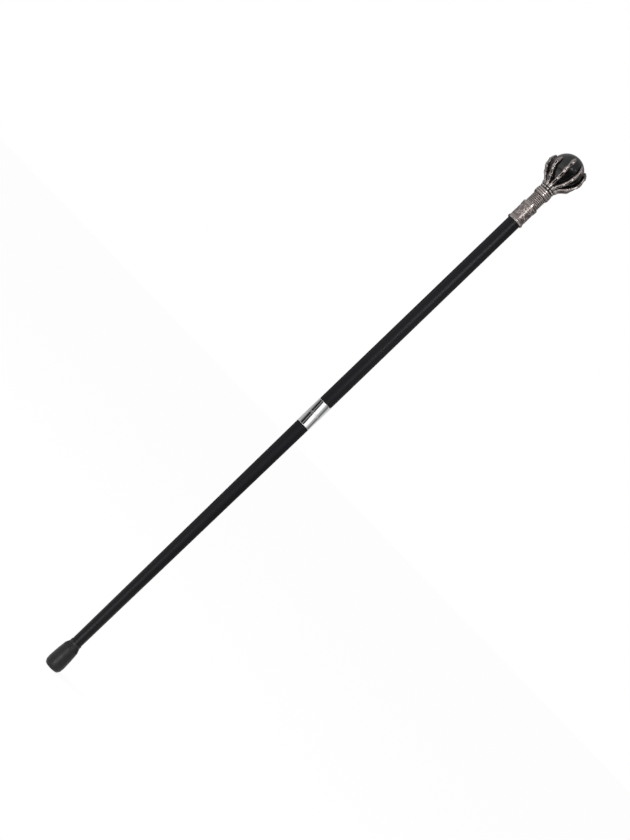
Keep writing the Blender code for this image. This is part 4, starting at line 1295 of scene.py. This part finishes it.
# Each soft box: azimuth from the front to the right and elevation, distance, size, watts and target.
SOFT_BOXES = {
    "key_box": (14.0, 5.0, LAMP_DISTANCE, (0.26, 0.52), 2.5, HEAD),
    "left_glint": (14.0, 24.0, LAMP_DISTANCE, (0.28, 0.06), 0.22, HEAD),
    "right_glint": (41.0, 36.0, LAMP_DISTANCE, (0.15, 0.05), 0.08, HEAD),
    "fill_box": (-75.0, 25.0, 1.8, (1.2, 1.2), 16.0, SHAFTS),
}


def add_soft_box(name, azimuth, elevation, distance, size, watts, target):
    """A rectangular lamp that looks at its target from the way (sin a cos e, -cos a cos e, sin e)."""
    turn, rise = math.radians(azimuth), math.radians(elevation)
    way = Vector((math.sin(turn) * math.cos(rise), -math.cos(turn) * math.cos(rise), math.sin(rise)))
    lamp = bpy.data.lights.new(name, "AREA")
    lamp.shape = "RECTANGLE"
    lamp.size, lamp.size_y = size
    lamp.energy = watts
    obj = bpy.data.objects.new(name, lamp)
    obj.rotation_mode = "QUATERNION"
    obj.rotation_quaternion = way.to_track_quat("Z", "Y")
    obj.location = Vector(target) + way * distance
    bpy.context.scene.collection.objects.link(obj)
    return obj


ALL_BUT_BALL = bpy.data.collections.new("all_but_the_ball")
for piece in bpy.data.objects:
    if piece.name.endswith("_fine") and piece.name != "ball_fine":
        ALL_BUT_BALL.objects.link(piece)
lamps = {name: add_soft_box(name, *place) for name, place in SOFT_BOXES.items()}
lamps["key_box"].light_linking.receiver_collection = ALL_BUT_BALL
lamps["fill_box"].visible_glossy = False
print("lamps:", ", ".join(lamps))

# %% Cards
CARD_DISTANCE = 1.0
CARD_COLUMNS = 13
CEILING = 1.30


def add_card(name, azimuths, levels, greys, slant=0.0, distances=(CARD_DISTANCE, CARD_DISTANCE)):
    """A card that reflections alone see: a part of a cylinder, x = d sin a, y = -d cos a, or of a disc
    where its two distances differ. Its grey fades from the first azimuth to the second, and it leans by
    slant degrees from foot to top."""
    azimuth = np.linspace(azimuths[0], azimuths[1], CARD_COLUMNS)
    rows = []
    for level, distance, side in zip(levels, distances, (-0.5, 0.5)):
        turn = np.radians(azimuth + side * slant)
        x, y = distance * np.sin(turn), -distance * np.cos(turn)
        rows.append(np.column_stack((x, y, np.full(CARD_COLUMNS, level))))
    faces = [(k, k + 1, k + 1 + CARD_COLUMNS, k + CARD_COLUMNS) for k in range(CARD_COLUMNS - 1)]
    mesh = bpy.data.meshes.new(name)
    mesh.from_pydata(np.vstack(rows).tolist(), [], faces)
    grey = np.tile(np.linspace(greys[0], greys[1], CARD_COLUMNS), 2)
    mesh.attributes.new("grey", "FLOAT", "POINT").data.foreach_set("value", grey)
    mesh.materials.append(CARD_FINISH)
    card = bpy.data.objects.new(name, mesh)
    card.visible_camera = card.visible_diffuse = card.visible_shadow = False
    card.visible_transmission = False
    bpy.context.scene.collection.objects.link(card)
    return card


def make_card_finish():
    """A card glows with the grey that its mesh stores at each point, and reflects nothing."""
    material, tree = new_finish("card")
    grey = add_node(tree, "Attribute")
    grey.attribute_name = "grey"
    set_shader(tree, {
        "Base Color": BLACK,
        "Specular IOR Level": 0.0,
        "Emission Color": WHITE,
        "Emission Strength": grey.outputs["Fac"],
    })
    return material


CARD_FINISH = make_card_finish()
RIGHT_SIDE = -20  # degrees: the ball doesn't see the lower rings' cards past this azimuth
# Round each part of the cane stands a ring of cards: its levels and slant, and then for each card its
# first and last azimuth and its grey there.
RINGS = {
    "joint": ((-0.50, -0.38), -66.0, (
        (-180, -108, 0.54, 0.54), (-108, -74, 0.52, 0.12), (-74, -44, 0.015, 0.015), (-44, -32, 0.30, 0.30),
        (-32, -11, 0.02, 0.02), (-11, 42, 1.25, 1.25), (42, 72, 0.62, 0.40), (72, 102, 0.28, 0.08),
        (102, 128, 0.30, 0.75), (128, 180, 0.75, 0.55),
    )),
    "lower_shaft": ((-0.895, -0.50), 0.0, (
        (-180, -125, 0.15, 0.15), (-125, -100, 0.15, 0.80), (-100, 10, 0.80, 0.80), (10, 45, 0.75, 0.30),
        (45, 100, 0.25, 0.25), (100, 180, 0.25, 0.15),
    )),
    "upper_shaft": ((-0.38, 0.06), 0.0, (
        (-180, -125, 0.15, 0.15), (-125, -100, 0.15, 0.80), (-100, -2, 0.95, 0.95), (-2, 10, 1.10, 1.30),
        (10, 50, 1.50, 1.05), (50, 100, 0.95, 0.90), (100, 180, 0.40, 0.15),
    )),
    "head": ((0.06, 0.30), 0.0, (
        (-180, -150, 0.30, 0.30), (-150, -120, 0.30, 0.70), (-120, -20, 0.70, 0.70), (-20, 0, 0.70, 0.30),
        (0, 25, 0.30, 0.08), (25, 105, 0.05, 0.05), (105, 135, 0.10, 0.45), (135, 180, 0.45, 0.30),
    )),
    "over": ((0.30, CEILING), 0.0, (
        (-180, -120, 0.40, 0.60), (-120, -20, 0.60, 0.60), (-20, 20, 0.60, 0.38), (20, 90, 0.36, 0.22),
        (90, 180, 0.22, 0.40),
    )),
}
for part, (levels, slant, cards) in RINGS.items():
    for k, (start, end, first_grey, last_grey) in enumerate(cards):
        card = add_card(f"card_{part}_{k + 1}", (start, end), levels, (first_grey, last_grey), slant)
        if levels[0] < 0.0 and start > RIGHT_SIDE:
            card.light_linking.receiver_collection = ALL_BUT_BALL
# A grey ceiling closes the rings.
for side, azimuths, greys in (
    ("left", (-180, -20), (0.40, 0.60)),
    ("front", (-20, 20), (0.60, 0.36)),
    ("right", (20, 180), (0.36, 0.40)),
):
    add_card(f"card_ceiling_{side}", azimuths, (CEILING, CEILING), greys, distances=(0.0, CARD_DISTANCE))
# A bright strip lies on the floor, and one stands behind it, for the light down the foot of the cane. To
# the right lies a card as bright as the floor, which the ball doesn't see.
LOW, FOOT_TOP = GROUND + MM, -0.82
STRIP_START, STRIP_MIDDLE, STRIP_END, SIDE_END = 0.03, 0.28, 0.90, 2.5  # distances on the floor
FOOT_DISTANCE = 0.95
add_card("card_floor_near", (-22, 2), (LOW, LOW), (6.5, 6.5), distances=(STRIP_START, STRIP_MIDDLE))
add_card("card_floor_far", (-22, 2), (LOW, LOW), (3.6, 3.6), distances=(STRIP_MIDDLE, STRIP_END))
add_card("card_foot", (-18, 5), (LOW, FOOT_TOP), (3.0, 3.0), distances=(FOOT_DISTANCE, FOOT_DISTANCE))
right = add_card(
    "card_floor_right", (6, 130), (LOW, LOW), (FLOOR_GLOW, FLOOR_GLOW), distances=(STRIP_START, SIDE_END),
)
right.light_linking.receiver_collection = ALL_BUT_BALL

# %% [markdown]
# ## Camera
#
# The photograph is taken square on, from the height of the middle of the cane, and the cane leans across
# the picture. The cane could be tilted, but then its frame would be lost, so it stands upright and the
# camera leans instead: it looks along +Y and is rolled, so that the picture's up direction is 46.1
# degrees from the cane's.

# %% Camera
CAMERA_PLACE = (6.1 * MM, -1.905, -443.9 * MM)
LEAN = math.radians(46.1)
FRAME_HEIGHT = 840 * 1.2565 * MM  # of the picture, at the cane: pixels times millimetres a pixel
SENSOR = 36.0


def make_camera():
    right = Vector((math.cos(LEAN), 0.0, math.sin(LEAN)))
    up = Vector((-math.sin(LEAN), 0.0, math.cos(LEAN)))
    back = right.cross(up)
    turn = Matrix((right, up, back)).transposed()
    data = bpy.data.cameras.new("camera")
    data.sensor_width = SENSOR
    data.angle = 2 * math.atan(FRAME_HEIGHT / 2 / abs(CAMERA_PLACE[1]))
    camera = bpy.data.objects.new("camera", data)
    camera.matrix_world = Matrix.Translation(CAMERA_PLACE) @ turn.to_4x4()
    bpy.context.scene.collection.objects.link(camera)
    bpy.context.scene.camera = camera
    print(f"camera lens {data.lens:.1f} mm")


make_camera()
bpy.context.scene.view_settings.view_transform = "Standard"
